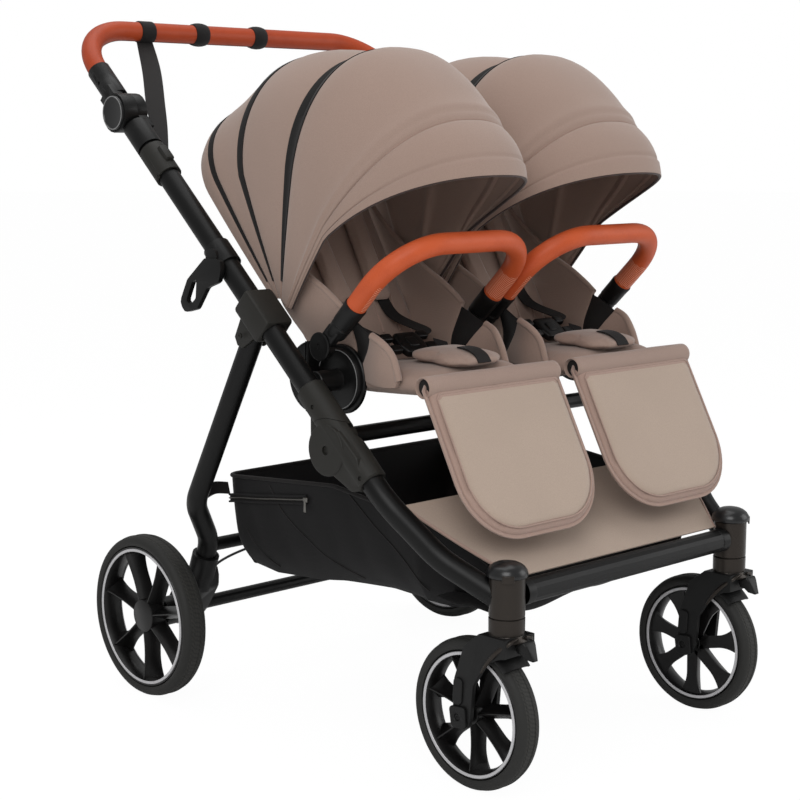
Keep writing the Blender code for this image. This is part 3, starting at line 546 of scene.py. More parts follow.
for suffix, side in SIDES.items():
    x = side * SEAT_X

    def hood_cloth(u, v):
        place_u, place_v = COLUMNS[round(u * (len(COLUMNS) - 1))], ROWS[round(v * (len(ROWS) - 1))]
        return hood_skin(x, place_u, place_v, hood_relief(place_v))

    hood = grid("hood_cloth_" + suffix, len(COLUMNS) - 1, len(ROWS) - 1, hood_cloth)
    hood = smooth(thicken(clean(hood), 0.0022), 60)
    pieces = [dress(hood, cover, None, "canopy_rear_" + suffix, "canopy_front_" + suffix)]

    spread = [0.03 + 0.94 * i / 80 for i in range(81)]
    tapes = [strip("tape", x, spread, centre, half, 0.0006) for centre, half, groove in ZIPS]
    tape = joined("hood_zips_" + suffix, *tapes)
    pieces.append(dress(smooth(thicken(tape, 0.0012, 1.0)), webbing, None))

    bound_bows = ((0.32, 0.012), (0.5, 0.014), (0.8, 0.01))
    bindings = [strip("binding", x, spread, centre, half, -0.0045) for centre, half in bound_bows]
    binding = joined("hood_inner_bindings_" + suffix, *bindings)
    pieces.append(dress(smooth(thicken(binding, 0.0016)), edging, None, slot="taupe_fabric"))

    width = COLUMNS[-1] - COLUMNS[0]
    hem = [hood_skin(x, COLUMNS[0] + width * i / 120, 1.0, -0.0012) for i in range(121)]
    hem = tube("hood_hem_" + suffix, hem, 0.0023, 10)
    pieces.append(dress(hem, brown_tape, None))
    for piece in pieces:
        start, end = at(x, CANOPY_PIVOT[0] + 0.24, 0.95), at(x, CANOPY_PIVOT[0] - 0.245, 0.93)
        "backrest_" + suffix
        "canopy_front_" + suffix
        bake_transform(piece)

# Seats
# Each seat is a fabric shell hung between the hub and the middle post: a foam seat pad, a foam
# backrest with piped seams, and soft side wings with a black mesh gusset beside the bumper bar.

BACKREST_HINGE = (0.33, 0.585)
BACKREST_LEAN = math.radians(58.6)


def spaced(points, spacing, closed=False):
    """The path with points added so that none lie much further apart than the spacing."""
    dense = []
    for a, b in zip(points, points[1:] + points[:1] if closed else points[1:]):
        count = max(1, round((b - a).length / spacing))
        dense += [a + (b - a) * k / count for k in range(count)]
    return dense if closed else dense + [points[-1]]


def outline_of(corners, radius, steps=6, spacing=0.008):
    """A closed flat outline with rounded corners and evenly spaced points."""
    corners = [Vector((*c, 0.0)) for c in corners]
    rough = rounded(corners, radius, steps, closed=True)
    return [(p.x, p.y) for p in spaced(rough, spacing, closed=True)]


def pad(name, outline, centre, place, thickness, boxy=0.5, rings=9, crown=0.0):
    """A closed stuffed form over a flat outline. place(across, along, height) sets it in the model."""
    count = len(outline)

    def wrap(u, v):
        across, along = outline[round(u * count) % count]
        turn = math.pi * v
        reach = max(0.0, math.sin(turn)) ** boxy
        level_edge = abs(v - 0.5) <= 1e-4
        height = 0.0 if level_edge else math.copysign(abs(math.cos(turn)) ** boxy, math.cos(turn))
        height = thickness / 2 * height + crown * (1 - reach**2) * max(0.0, math.cos(turn))
        across = centre[0] + (across - centre[0]) * reach
        along = centre[1] + (along - centre[1]) * reach
        return place(across, along, height)

    return smooth(clean(grid(name, count, 2 * rings, wrap)), 70)


def stuffed(piece, voxel=0.005, cap=0.006, pressure=4.0):
    """Swell a closed form as foam does under a tight cover, no further than the cap."""
    applied(piece, "REMESH", mode="VOXEL", voxel_size=voxel)
    before = [v.co.copy() for v in piece.data.vertices]
    cloth = piece.modifiers.new("cloth", "CLOTH")
    cloth.settings.use_pressure = True
    cloth.settings.uniform_pressure_force = pressure
    cloth.settings.effector_weights.gravity = 0.0
    for step in range(1, 21):
        bpy.context.scene.frame_set(step)
    bpy.ops.object.modifier_apply(modifier="cloth")
    bpy.context.scene.frame_set(1)
    for vertex, start in zip(piece.data.vertices, before):
        moved = vertex.co - start
        if moved.length > cap:
            vertex.co = start + moved.normalized() * cap
    return smooth(applied(piece, "SUBSURF", levels=1, render_levels=1), 80)


def twin(piece, name):
    """The same piece on the other seat, as a copy with its own mesh."""
    copy = piece.copy()
    copy.data = piece.data.copy()
    copy.name = name
    bpy.context.collection.objects.link(copy)
    copy.data.transform(Matrix.Translation((2 * SEAT_X, 0, 0)))
    return copy


def on_backrest(x):
    """A function that sets places on the backrest of the seat at this x."""

    def place(across, along, height):
        lean = BACKREST_LEAN
        back = BACKREST_HINGE[0] + along * math.cos(lean) - height * math.sin(lean)
        return at(x + across, back, BACKREST_HINGE[1] + along * math.sin(lean) + height * math.cos(lean))

    return place


def both_seats(piece, name, finish, body, *nodes, slot=None, fill=None):
    """Dress the near seat's piece and its copy on the far seat, and return them by side."""
    pieces = {"r": piece, "l": twin(piece, name + "_l")}
    piece.name = name + "_r"
    for suffix, one in pieces.items():
        ride = body + suffix if body.endswith("_") else body
        dress(one, finish, ride, *(node + suffix for node in nodes), slot=slot)
    return pieces


near = -SEAT_X
seat_outline = outline_of([(-0.112, 0.09), (0.112, 0.09), (0.112, 0.3), (-0.112, 0.3)], 0.04)


def on_seat(across, back, height):
    """A place on the seat, which dips and narrows to its rear."""
    narrowed = across * (1.0 if back < 0.22 else 1.0 - 0.9 * (back - 0.22))
    return at(near + narrowed, back, 0.5685 - 0.05 * (back - 0.09) + height)


seat_pad = pad("seat_pad", seat_outline, (0.0, 0.195), on_seat, 0.03, 0.42, crown=0.004)
seat_pad = stuffed(seat_pad, 0.006, 0.005)
both_seats(seat_pad, "seat_pad", cover, "frame", "seat_base_", fill=0.8)


def curve_through(knots, share):
    """A point this share of the way through the knots, in straight steps softened at the knots."""
    spot = min(max(share, 0.0), 1.0) * (len(knots) - 1)
    i = min(int(spot), len(knots) - 2)
    t = spot - i
    before, a, b, after = (Vector(knots[max(0, min(len(knots) - 1, j))]) for j in (i - 1, i, i + 1, i + 2))
    bend = 2 * a + (b - before) * t + (2 * before - 5 * a + 4 * b - after) * t**2
    return (bend + (3 * a - before - 3 * b + after) * t**3) / 2


# (back, up) of the cloth that turns up behind the seat pad
fold_knots = [(0.25, 0.56), (0.29, 0.559), (0.32, 0.5625), (0.343, 0.576), (0.356, 0.599)]


def lay_fold(u, v):
    spot = curve_through(fold_knots, v)
    return at(near + (2 * u - 1) * 0.094, spot.x, spot.y + 0.01 * abs(2 * u - 1) ** 6)


seat_fold = smooth(thicken(clean(grid("seat_fold", 24, 20, lay_fold)), 0.004, 0.0), 60)
both_seats(seat_fold, "seat_fold", cover, "frame")

back_edge = [(0.092, -0.004), (0.116, 0.045), (0.116, 0.3), (0.092, 0.396)]
back_outline = outline_of(
    [(-0.092, -0.004)] + back_edge + [(-a, b) for a, b in reversed(back_edge[1:])], 0.03,
)
backrest = pad("backrest_pad", back_outline, (0.0, 0.19), on_backrest(near), 0.024, 0.4, crown=0.003)
backrest = stuffed(backrest, 0.006, 0.005)
both_seats(backrest, "backrest_pad", cover, "backrest_", "backrest_", fill=0.8)

place = on_backrest(near)
for label, across in (("outer", -0.078), ("inner", 0.078), ("mid_outer", -0.034), ("mid_inner", 0.034)):
    line = [place(across * (0.8 + 0.2 * min(1.0, k / 8)), 0.025 + 0.35 * k / 24, 0.0175) for k in range(25)]
    piping = tube("piping", line, 0.0018, 8)
    both_seats(piping, "backrest_piping_" + label, edging, "backrest_", slot="taupe_fabric")

WING_TOP = [(0.512, 0.862), (0.425, 0.775), (0.345, 0.718), (0.292, 0.69), (0.246, 0.66)]
WING_FOOT = [(0.352, 0.6), (0.335, 0.578), (0.312, 0.566), (0.282, 0.563), (0.252, 0.568)]
LOBE_TOP = [(0.197, 0.632), (0.176, 0.622), (0.158, 0.602), (0.1455, 0.57)]
LOBE_FOOT = [(0.246, 0.566), (0.212, 0.56), (0.178, 0.558), (0.15, 0.56)]


def wing_x(spot, swell=0.0):
    """How far a wing stands from the seat's middle: close in beside the hub, and flared round it."""
    rise = min(1.0, max(0.0, (spot.y - 0.6) / 0.075))
    forward = min(1.0, max(0.0, (0.25 - spot.x) / 0.075))
    return 0.0985 + 0.0225 * rise**2 * (3 - 2 * rise) + 0.014 * forward**2 * (3 - 2 * forward) + swell


def wing(name, side_sign, top, foot, columns, rows, thickness, puff):
    """A soft side panel between its top and foot lines of (back, up) knots, puffed outwards."""

    def lay(u, v):
        low, high = curve_through(foot, u), curve_through(top, u)
        spot = low + (high - low) * v
        swell = puff * math.sin(math.pi * v) * math.sin(math.pi * min(1.0, u * 1.1))
        return at(near + side_sign * wing_x(spot, swell), spot.x, spot.y)

    panel = thicken(clean(grid(name, columns, rows, lay)), thickness, 0.0)
    return smooth(applied(panel, "BEVEL", width=thickness * 0.4, segments=3), 60)


for label, sign in (("outer", -1.0), ("inner", 1.0)):
    panel = wing("wing", sign, WING_TOP, WING_FOOT, 24, 12, 0.007, 0.004)
    edge = [
        at(near + sign * wing_x(p), p.x, p.y)
        for p in (curve_through(WING_TOP, k / 40) for k in range(41))
    ]
    rim = tube("wing_rim", edge, 0.0048, 12)
    for piece, name in ((panel, "wing_" + label), (rim, "wing_rim_" + label)):
        for suffix, one in both_seats(piece, name, cover, "").items():
            x = SIDES[suffix] * SEAT_X
            "backrest_" + suffix
            at(x, 0.275, 0.62)
            at(x, 0.4, 0.74)
            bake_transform(one)
    lobe = wing("lobe", sign, LOBE_TOP, LOBE_FOOT, 16, 8, 0.008, 0.003)
    both_seats(lobe, "wing_lobe_" + label, cover, "frame")
    edge = [curve_through(LOBE_TOP, k / 30) for k in range(31)]
    edge = [at(near + sign * wing_x(p), p.x, p.y) for p in edge]
    both_seats(tube("lobe_rim", edge, 0.0055, 12), "wing_lobe_rim_" + label, cover, "frame")
    mesh_top = [(0.247, 0.656), (0.222, 0.645), (0.196, 0.63)]
    mesh_foot = [(0.254, 0.572), (0.251, 0.57), (0.248, 0.57)]
    gusset = wing("gusset", sign, mesh_top, mesh_foot, 10, 10, 0.0018, -0.003)
    both_seats(gusset, "wing_gusset_" + label, webbing, "frame")

# Seat front and leg rests
# The seat's cloth turns over a hollow sleeve round the hinge and runs on as the leg rest, a board
# under thin foam with a pale front panel, a seam round the panel and a bound edge.

LEG_REST_HINGE = (0.072, 0.57)
LEG_REST_DROP = math.radians(62.0)
SLEEVE_RADIUS = 0.0158


def on_leg_rest(across, along, height):
    """A place on the hanging leg rest, which is the near one."""
    back = LEG_REST_HINGE[0] + along * math.cos(LEG_REST_DROP) - height * math.sin(LEG_REST_DROP)
    up = LEG_REST_HINGE[1] + along * math.sin(LEG_REST_DROP) + height * math.cos(LEG_REST_DROP)
    return at(near + across, back, up)


def mirrored(profile):
    """The profile and its mirror image after its last point."""
    return profile + [(-along, radius) for along, radius in reversed(profile[:-1])]


def spun(name, profile, centre, direction, steps=32):
    """A turned shape: profile is (distance along the direction, radius) pairs, closed at its ends."""
    direction = Vector(direction).normalized()
    first = direction.orthogonal().normalized()
    second = direction.cross(first)

    def wrap(u, v):
        along, radius = profile[round(v * (len(profile) - 1))]
        turn = 2 * math.pi * u
        return centre + along * direction + radius * (math.cos(turn) * first + math.sin(turn) * second)

    return smooth(clean(grid(name, steps, len(profile) - 1, wrap), caps=True), 35)


sleeve_profile = [(-0.128, 0.0125), (-0.1355, 0.0128), (-0.1375, 0.0142), (-0.1355, 0.0156)]
sleeve_profile += [(-0.13, SLEEVE_RADIUS), (-0.06, SLEEVE_RADIUS + 0.0006), (0.0, SLEEVE_RADIUS)]
sleeve_profile = mirrored(sleeve_profile)
sleeve = spun("sleeve", sleeve_profile, at(near, *LEG_REST_HINGE), (1, 0, 0), 40)
both_seats(sleeve, "seat_front_sleeve", cover, "leg_rest_")
core = [(-0.1325, 0.0), (-0.1325, 0.0118), (0.1325, 0.0118), (0.1325, 0.0)]
core = spun("core", core, at(near, *LEG_REST_HINGE), (1, 0, 0), 24)
both_seats(core, "leg_rest_hinge_bar", webbing, "leg_rest_")

REST_HALF, REST_LENGTH, REST_MIDDLE = 0.137, 0.234, -0.115
REST_FACE = 0.0112


def rest_outline(inset, corner):
    """The leg rest's outline with its two large lower corners, drawn in by the inset."""
    half, low, top = REST_HALF - inset, inset - REST_LENGTH, 0.002 - 1.6 * inset
    path = [(half, top - 0.006, 0), (half, low, 0), (-half, low, 0), (-half, top - 0.006, 0)]
    lower = rounded(path, corner, 12)
    upper = [Vector((-half + 0.006, top, 0)), Vector((half - 0.006, top, 0))]
    return [(p.x, p.y) for p in spaced(lower + upper, 0.008, closed=True)]


rest_pad = rest_outline(0.0, 0.09)
rest_pad = pad("leg_rest_pad", rest_pad, (0.0, REST_MIDDLE), on_leg_rest, 0.019, 0.34, 10, 0.0015)
rest_pad = stuffed(rest_pad, 0.005, 0.002, 2.0)
both_seats(rest_pad, "leg_rest_pad", edging, "leg_rest_", "leg_rest_", fill=0.5)
panel_outline = rest_outline(0.011, 0.08)
count = len(panel_outline)


def lay_panel(u, v):
    across, along = panel_outline[round(u * count) % count]
    reach = v**0.8
    drop = 0.0032 * max(0.0, (v - 0.9) / 0.1) ** 2
    along = REST_MIDDLE + (along - REST_MIDDLE) * reach
    return on_leg_rest(across * reach, along, REST_FACE + 0.0016 * (1 - v**2) + 0.0008 - drop)


panel = smooth(thicken(clean(grid("leg_rest_panel", count, 16, lay_panel)), 0.0012), 60)
both_seats(panel, "leg_rest_panel", pale, "leg_rest_")
seam = [on_leg_rest(a, b, REST_FACE - 0.0006) for a, b in rest_outline(0.0105, 0.08)]
seam.append(seam[0])
both_seats(tube("seam", seam, 0.0012, 8), "leg_rest_seam", edging, "leg_rest_")
bound = [on_leg_rest(a, b, 0.0) for a, b in rest_outline(0.0006, 0.09)]
bound.append(bound[0])
both_seats(tube("bound", bound, 0.003, 8, 1.5), "leg_rest_binding", edging, "leg_rest_")

# Harness
# A five-point harness of black webbing with padded shoulder sleeves in the cover cloth, a moulded
# buckle with a bare button and two clips on each side, and a soft tongue pad under the buckle.


def band(name, knots, width, across, thickness=0.0015, steps=24):
    """A flat strap through the knots. across is the direction of its width, or one for each knot."""
    knots = [Vector(k) for k in knots]

    def lay(u, v):
        middle = curve_through(knots, v)
        if isinstance(across, (list, tuple)):
            spread = curve_through(across, v).normalized()
        else:
            spread = across.normalized()
        return middle + (u - 0.5) * width * spread

    return smooth(thicken(clean(grid(name, 4, steps, lay)), thickness, 0.0), 50)


def on_tongue(across, back, height):
    """A place on the soft pad that lies on the seat's front."""
    return at(near + across, back, 0.5975 + 0.05 * (back - 0.145) + height)


tongue = [(-0.052, 0.196), (-0.058, 0.105), (-0.03, 0.084), (0.03, 0.084), (0.058, 0.105), (0.052, 0.196)]
tongue = outline_of(tongue, 0.022, 5, 0.006)
tongue_pad = stuffed(pad("crotch_pad", tongue, (0.0, 0.145), on_tongue, 0.016, 0.6, 8, 0.004), 0.004, 0.003)
both_seats(tongue_pad, "crotch_pad", cover, "frame", fill=0.5)
slot_strap = [
    at(near, 0.128, 0.6125), at(near, 0.108, 0.611), at(near, 0.092, 0.604), at(near, 0.083, 0.5935),
]
both_seats(band("strap", slot_strap, 0.026, Vector((1, 0, 0))), "crotch_strap_loop", webbing, "frame")

moulding = Finish(
    "black_moulded_plastic", "dark_plastic", paint(14, 14, 14), 0.36, Specular_IOR_Level=0.26
).weather(0.3, 0.16, 30.0, (1400.0, 3.0, 0.00008, 0.6))

BUCKLE = sum((Vector(c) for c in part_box("buckle_r")), Vector()) / 2
BUCKLE_LEAN = math.radians(-55)


def on_buckle(across, along, height):
    """A place about the leaning buckle of the near seat."""
    back = along * math.cos(BUCKLE_LEAN) - height * math.sin(BUCKLE_LEAN)
    up = along * math.sin(BUCKLE_LEAN) + height * math.cos(BUCKLE_LEAN)
    return Vector((BUCKLE.x + across, BUCKLE.y + back, BUCKLE.z + 0.004 + up))


def buckle_place(across, along, height):
    """The buckle's plate lies along its height, so its face is set across the lean."""
    return on_buckle(across, height, along)


shell = [
    (-0.02, -0.024), (0.02, -0.024), (0.026, -0.006), (0.024, 0.022), (-0.024, 0.022), (-0.026, -0.006),
]
shell = outline_of(shell, 0.008, 5, 0.003)
buckle = pad("buckle", shell, (0, 0), buckle_place, 0.014, 0.35, 6, crown=0.001)
both_seats(buckle, "buckle_shell", moulding, "frame", "buckle_")
button = outline_of([(-0.01, -0.012), (0.01, -0.012), (0.01, 0.008), (-0.01, 0.008)], 0.004, 4, 0.002)
button = pad("button", button, (0, -0.002), lambda a, b, h: buckle_place(a, b, h - 0.0068), 0.004, 0.4, 4)
both_seats(button, "buckle_button", moulding, "frame")
for sign in (-1, 1):
    for low, high, label in ((0.01, 0.024, "upper"), (-0.016, -0.002, "lower")):
        corners = [(sign * 0.026, low), (sign * 0.047, low), (sign * 0.047, high), (sign * 0.026, high)]
        corners = outline_of(corners, 0.003, 3, 0.003)
        clip = pad("clip", corners, (sign * 0.0365, (low + high) / 2), buckle_place, 0.01, 0.35, 4)
        name = "buckle_clip_" + label + ("_out" if sign < 0 else "_in")
        both_seats(clip, name, moulding, "frame")

place = on_backrest(near)
for sign, label in ((-1, "out"), (1, "in")):
    hip = [on_buckle(sign * 0.046, 0.0, -0.009), at(near + sign * 0.068, 0.226, 0.594)]
    hip = band("hip", hip + [at(near + sign * 0.088, 0.262, 0.588)], 0.024, Vector((0, 0.35, 1)))
    both_seats(hip, "hip_strap_" + label, webbing, "frame")
    low_strap = [on_buckle(sign * 0.044, 0.0, 0.016), at(near + sign * 0.056, 0.268, 0.622)]
    low_strap += [place(sign * 0.052, 0.05, 0.026), place(sign * 0.042, 0.1, 0.026)]
    low_strap = band("low", low_strap, 0.022, Vector((1, 0, 0.2)))
    for suffix, one in both_seats(low_strap, "shoulder_strap_" + label, webbing, "").items():
        x = SIDES[suffix] * SEAT_X
        "backrest_" + suffix
        at(x, 0.23, 0.625)
        at(x, 0.335, 0.66)
        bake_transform(one)
    top_strap = [place(sign * 0.048, 0.285, 0.026), place(sign * 0.05, 0.32, 0.025)]
    top_strap = band("top", top_strap + [place(sign * 0.052, 0.365, 0.0195)], 0.022, Vector((1, 0, 0)))
    both_seats(top_strap, "upper_strap_" + label, webbing, "backrest_")

    def on_sleeve(across, along, height):
        return place(sign * (0.04 + 0.05 * (along - 0.08)) + across, along, 0.0275 + height)

    sleeve_pad = outline_of(
        [(-0.022, 0.075), (0.022, 0.075), (0.026, 0.31), (-0.026, 0.31)], 0.012, 4, 0.007,
    )
    sleeve_pad = stuffed(
        pad("shoulder", sleeve_pad, (0, 0.19), on_sleeve, 0.011, 0.5, 6, 0.002), 0.004, 0.003,
    )
    both_seats(sleeve_pad, "shoulder_pad_" + label, cover, "backrest_", fill=0.5)

# Bumper bars
# A bent steel bar in a sewn leather sleeve with a laced seam near each end, plugged into moulded
# sockets that turn on the hub outside and on the middle post inside.

BUMPER_PIVOT = Vector((0.269, 0.613))
BUMPER_FRONT = Vector((0.113, 0.766))
BUMPER_HALF_WIDTH = 0.1415
GRIP_RADIUS = 0.0158
GRIP_START = 0.089


def leather_finish(name, base, deep, lacing_from, lacing_to, lace_places):
    """Tan leather read on the piece's own UV: round it across, along it in shares of its length."""
    hide = Finish(name, "leather", base, 0.46, Specular_IOR_Level=0.28)
    grain = hide.noise(520.0, 4.0)
    wear_shade = hide.noise(24.0, 3.0)
    share = hide.node("Clamp", {}, {0: (wear_shade - 0.4) * 1.4 + (grain - 0.5) * 0.8})
    uv = hide.node("SeparateXYZ", {}, {0: hide.place("UV")}, 1)
    around = Wire(hide, uv.socket.node.outputs[0])
    laced = 0.0
    for first, last in lace_places:
        laced = laced + (uv > first) * (uv < last)
    in_row = laced * (around > lacing_from) * (around < lacing_to)
    rows = uv.math("SINE", uv * 900.0 + around * 60.0)
    lace = in_row * (rows > 0.35) * 0.55
    hide.set("Base Color", hide.blend(lace, hide.blend(share, base, deep), paint(240, 180, 150)))
    hide.set("Roughness", 0.38 + 0.16 * grain)
    hide.bump(grain * 0.5 + in_row * rows * 0.9, 0.0006, 0.5)
    return hide


laced_ends = ((0.015, 0.13), (0.87, 0.985))
bumper_hide = leather_finish(
    "bumper_leather", paint(195, 86, 46), paint(171, 68, 33), 0.05, 0.45, laced_ends,
)


def on_bumper(x, reach, offset=0.0):
    """A point of a bumper arm this far from its pivot."""
    run = (BUMPER_FRONT - BUMPER_PIVOT).normalized()
    back, up = BUMPER_PIVOT + run * reach + Vector((-run.y, run.x)) * offset
    return at(x, back, up)


full = (BUMPER_FRONT - BUMPER_PIVOT).length
ends = (near - BUMPER_HALF_WIDTH, near + BUMPER_HALF_WIDTH)
bar_path = [on_bumper(ends[0], GRIP_START), on_bumper(ends[0], full)]
bar_path += [on_bumper(ends[1], full), on_bumper(ends[1], GRIP_START)]
bar_path = rounded(bar_path, 0.088, 14)
grip = tube("bumper_grip", spaced(bar_path, 0.008), GRIP_RADIUS, 28)
both_seats(grip, "bumper_grip", bumper_hide, "bumper_bar_", "bumper_bar_")
for x, outward, label in ((ends[0], -1.0, "out"), (ends[1], 1.0, "in")):
    profile = [(0.026, 0.0), (0.026, 0.0135), (0.03, 0.0152), (0.046, 0.016), (0.0475, 0.015)]
    profile += [(0.05, 0.015), (0.0515, 0.0166), (0.08, 0.017), (0.0895, 0.0176), (0.0915, 0.0168)]
    profile.append((0.0915, 0.0))
    run = on_bumper(x, 1.0) - on_bumper(x, 0.0)
    socket = spun("socket", profile, on_bumper(x, 0.0), run, 28)
    low, high = (-0.3125, -0.2968) if label == "out" else (-0.029, -0.0088)
    middle = (low + high) / 2
    half = (high - low) / 2
    rim = [(-half + 0.0015, 0.0182), (half - 0.0015, 0.0182), (half, 0.0165), (half, 0.0)]
    if label == "out":
        disc = [(-half + 0.003, 0.0), (-half + 0.003, 0.004), (-half + 0.0005, 0.0046), (-half, 0.006)]
        disc += [(-half, 0.015)] + rim
    else:
        disc = [(-half, 0.0), (-half, 0.0165)] + rim
    disc = spun("disc", disc, at(middle, *BUMPER_PIVOT), (1, 0, 0), 36)
    bpy.ops.mesh.primitive_cube_add(size=1.0)
    arm = bpy.context.object
    arm.data.transform(Matrix.Diagonal((high - low - 0.0012, 0.036, 0.025, 1.0)))
    arm.data.transform(Matrix.Rotation(math.atan2(0.153, -0.156), 4, "X"))
    arm.data.transform(Matrix.Translation(on_bumper(middle, 0.022)))
    smooth(applied(arm, "BEVEL", width=0.003, segments=3))
    both_seats(socket, "bumper_socket_" + label, moulding, "bumper_bar_")
    both_seats(disc, "bumper_pivot_" + label, moulding, "bumper_bar_")
    if label == "out":
        cap = [(-0.312, 0.0), (-0.312, 0.0205), (-0.3132, 0.0215), (-0.3145, 0.021), (-0.315, 0.0196)]
        cap += [(-0.3146, 0.0186), (-0.3146, 0.005), (-0.313, 0.0044), (-0.313, 0.0)]
        cap = [(x + 0.313, radius) for x, radius in cap]
        cap = spun("cap", cap, at(-0.313, *BUMPER_PIVOT), (1, 0, 0), 40)
        both_seats(cap, "bumper_pivot_cap", moulding, "bumper_bar_")
    both_seats(arm, "bumper_arm_" + label, moulding, "bumper_bar_")

# Apron
# One pale cloth panel stretched between the lower tubes, from the front cross tube up and back under
# the leg rests, and hemmed along its sides.

APRON_HALF, APRON_FLARE = 0.229, 0.079
APRON_LOW, APRON_HIGH = Vector((-0.048, 0.3105)), Vector((0.098, 0.4005))


def lay_apron(u, v):
    half = APRON_HALF + APRON_FLARE * v + 0.004 * math.sin(math.pi * v)
    spot = APRON_LOW + (APRON_HIGH - APRON_LOW) * v
    sag = -0.006 * math.sin(math.pi * v) * math.sin(math.pi * u)
    return at((2 * u - 1) * half, spot.x, spot.y + sag)


apron = thicken(clean(grid("apron_panel", 60, 24, lay_apron)), 0.0022, 0.0)
dress(smooth(apron, 60), pale, "front_frame", "apron")
for side in SIDES.values():
    hem = [lay_apron(0.5 + side * 0.5, k / 20) for k in range(21)]
    piece = tube("apron_hem_" + ("r" if side < 0 else "l"), hem, 0.0026, 8)
    dress(piece, edging, "front_frame")

# Basket
# The shopping basket is a sewn tub of black nylon hung between the frame's tubes, with a zip under
# the rim of each side, curved panel seams and a webbing strap from each rear corner to the leg. A
# slack front edge hangs from the front cross tube.

BASKET_HALF, BASKET_FRONT_HALF = 0.262, 0.2
BASKET_FRONT, BASKET_CORNER, BASKET_MIDDLE, BASKET_REAR = -0.01, 0.118, 0.28, 0.57
BASKET_PLAN = [(-BASKET_HALF, BASKET_REAR), (-BASKET_HALF, BASKET_CORNER), (-BASKET_FRONT_HALF, BASKET_FRONT)]
BASKET_PLAN += [(-across, back) for across, back in reversed(BASKET_PLAN)]
BASKET_RIM = [(-0.012, 0.288), (0.085, 0.37), (0.3, 0.394), (0.572, 0.372)]
BASKET_TOP = 0.392
BASKET_FLOOR = [(-0.012, 0.262), (0.03, 0.246), (0.09, 0.237), (0.145, 0.246), (0.2, 0.247)]
BASKET_FLOOR += [(0.31, 0.238), (0.376, 0.228), (0.476, 0.22), (0.546, 0.228), (0.572, 0.25)]


def level(knots, back):
    """Height at this place along a line of (back, up) knots."""
    for (low, height), (high, next_height) in zip(knots, knots[1:]):
        if back <= high:
            return height + (next_height - height) * max(0.0, (back - low) / (high - low))
    return knots[-1][1]


def drawn_in(outline, inset):
    """The outline moved inwards by the inset."""
    turning = sum(a[0] * b[1] - b[0] * a[1] for a, b in zip(outline, outline[1:] + outline[:1]))
    sign = 1.0 if turning > 0 else -1.0
    moved = []
    for i, (across, along) in enumerate(outline):
        before, after = Vector(outline[i - 1]), Vector(outline[(i + 1) % len(outline)])
        run = (after - before).normalized()
        moved.append((across - sign * run.y * inset, along + sign * run.x * inset))
    return moved


def wall_inset(share):
    """How far the basket's wall stands in from its rim, this share of the way down."""
    return 0.014 * share - 0.001 * math.sin(math.pi * share) + 0.021 * max(0.0, (share - 0.6) / 0.4) ** 2.2


def creases(across, back, share):
    """Small slack folds of the basket's wall, which die out at its rim."""
    long_folds = 0.0012 * math.sin(47.0 * back + 3.0 * share) * math.sin(math.pi * share)
    return long_folds + 0.0011 * math.sin(83.0 * across + 31.0 * back) * share * (1.3 - share)


basket_plan = outline_of(BASKET_PLAN, 0.032, 8, 0.009)
BASKET_RINGS = [k / 14 for k in range(15)] + [1.2, 1.45, 1.7, 1.9, 2.03, 2.11]
basket_loops = []
for share in BASKET_RINGS:
    loop = drawn_in(basket_plan, wall_inset(min(share, 1.0)))
    shrink = 1.0 - 0.9 * max(0.0, share - 1.0)
    basket_loops.append([(a * shrink, BASKET_MIDDLE + (b - BASKET_MIDDLE) * shrink) for a, b in loop])


def lay_basket(u, v):
    k = round(u * len(basket_plan)) % len(basket_plan)
    ring = round(v * (len(BASKET_RINGS) - 1))
    across, back = basket_loops[ring][k]
    share = min(1.0, BASKET_RINGS[ring])
    rim, foot = level(BASKET_RIM, back), level(BASKET_FLOOR, back)
    fold = creases(across, back, share)
    return at(across + math.copysign(fold, across), back, rim + (foot - rim) * share + fold)


def basket_wall(side, back, up, proud=0.0):
    """A point on the outside of a basket wall."""
    taper = max(0.0, (BASKET_CORNER - back) / (BASKET_CORNER - BASKET_FRONT))
    half = BASKET_HALF - (BASKET_HALF - BASKET_FRONT_HALF) * taper
    rim, foot = level(BASKET_RIM, back), level(BASKET_FLOOR, back)
    share = min(1.0, max(0.0, (rim - up) / (rim - foot)))
    fold = creases(side * half, back, share)
    return at(side * (half - wall_inset(share) + proud) + math.copysign(fold, side), back, up + fold)


basket = thicken(clean(grid("basket_cloth", len(basket_plan), len(BASKET_RINGS) - 1, lay_basket)), 0.0018)
basket_pieces = [dress(smooth(basket, 50), nylon, "frame", "basket")]
rim_line = [lay_basket(k / len(basket_plan), 0.0) for k in range(len(basket_plan) + 1)]
basket_pieces.append(dress(tube("basket_rim", rim_line, 0.0032, 10), webbing, "frame"))
zip_metal = Finish("zip_metal", "dark_plastic", paint(120, 118, 114), 0.35, Metallic=0.9)
zip_metal.bump(zip_metal.noise(900.0), 0.0001, 0.4)
SEAMS = (
    ("rear", [(0.452, 0.372), (0.429, 0.34), (0.395, 0.314), (0.326, 0.277), (0.255, 0.253)]),
    ("front", [(0.262, 0.386), (0.2325, 0.365), (0.205, 0.345), (0.144, 0.3), (0.11, 0.262)]),
    ("corner", [(0.52, 0.29), (0.49, 0.255), (0.456, 0.236)]),
)
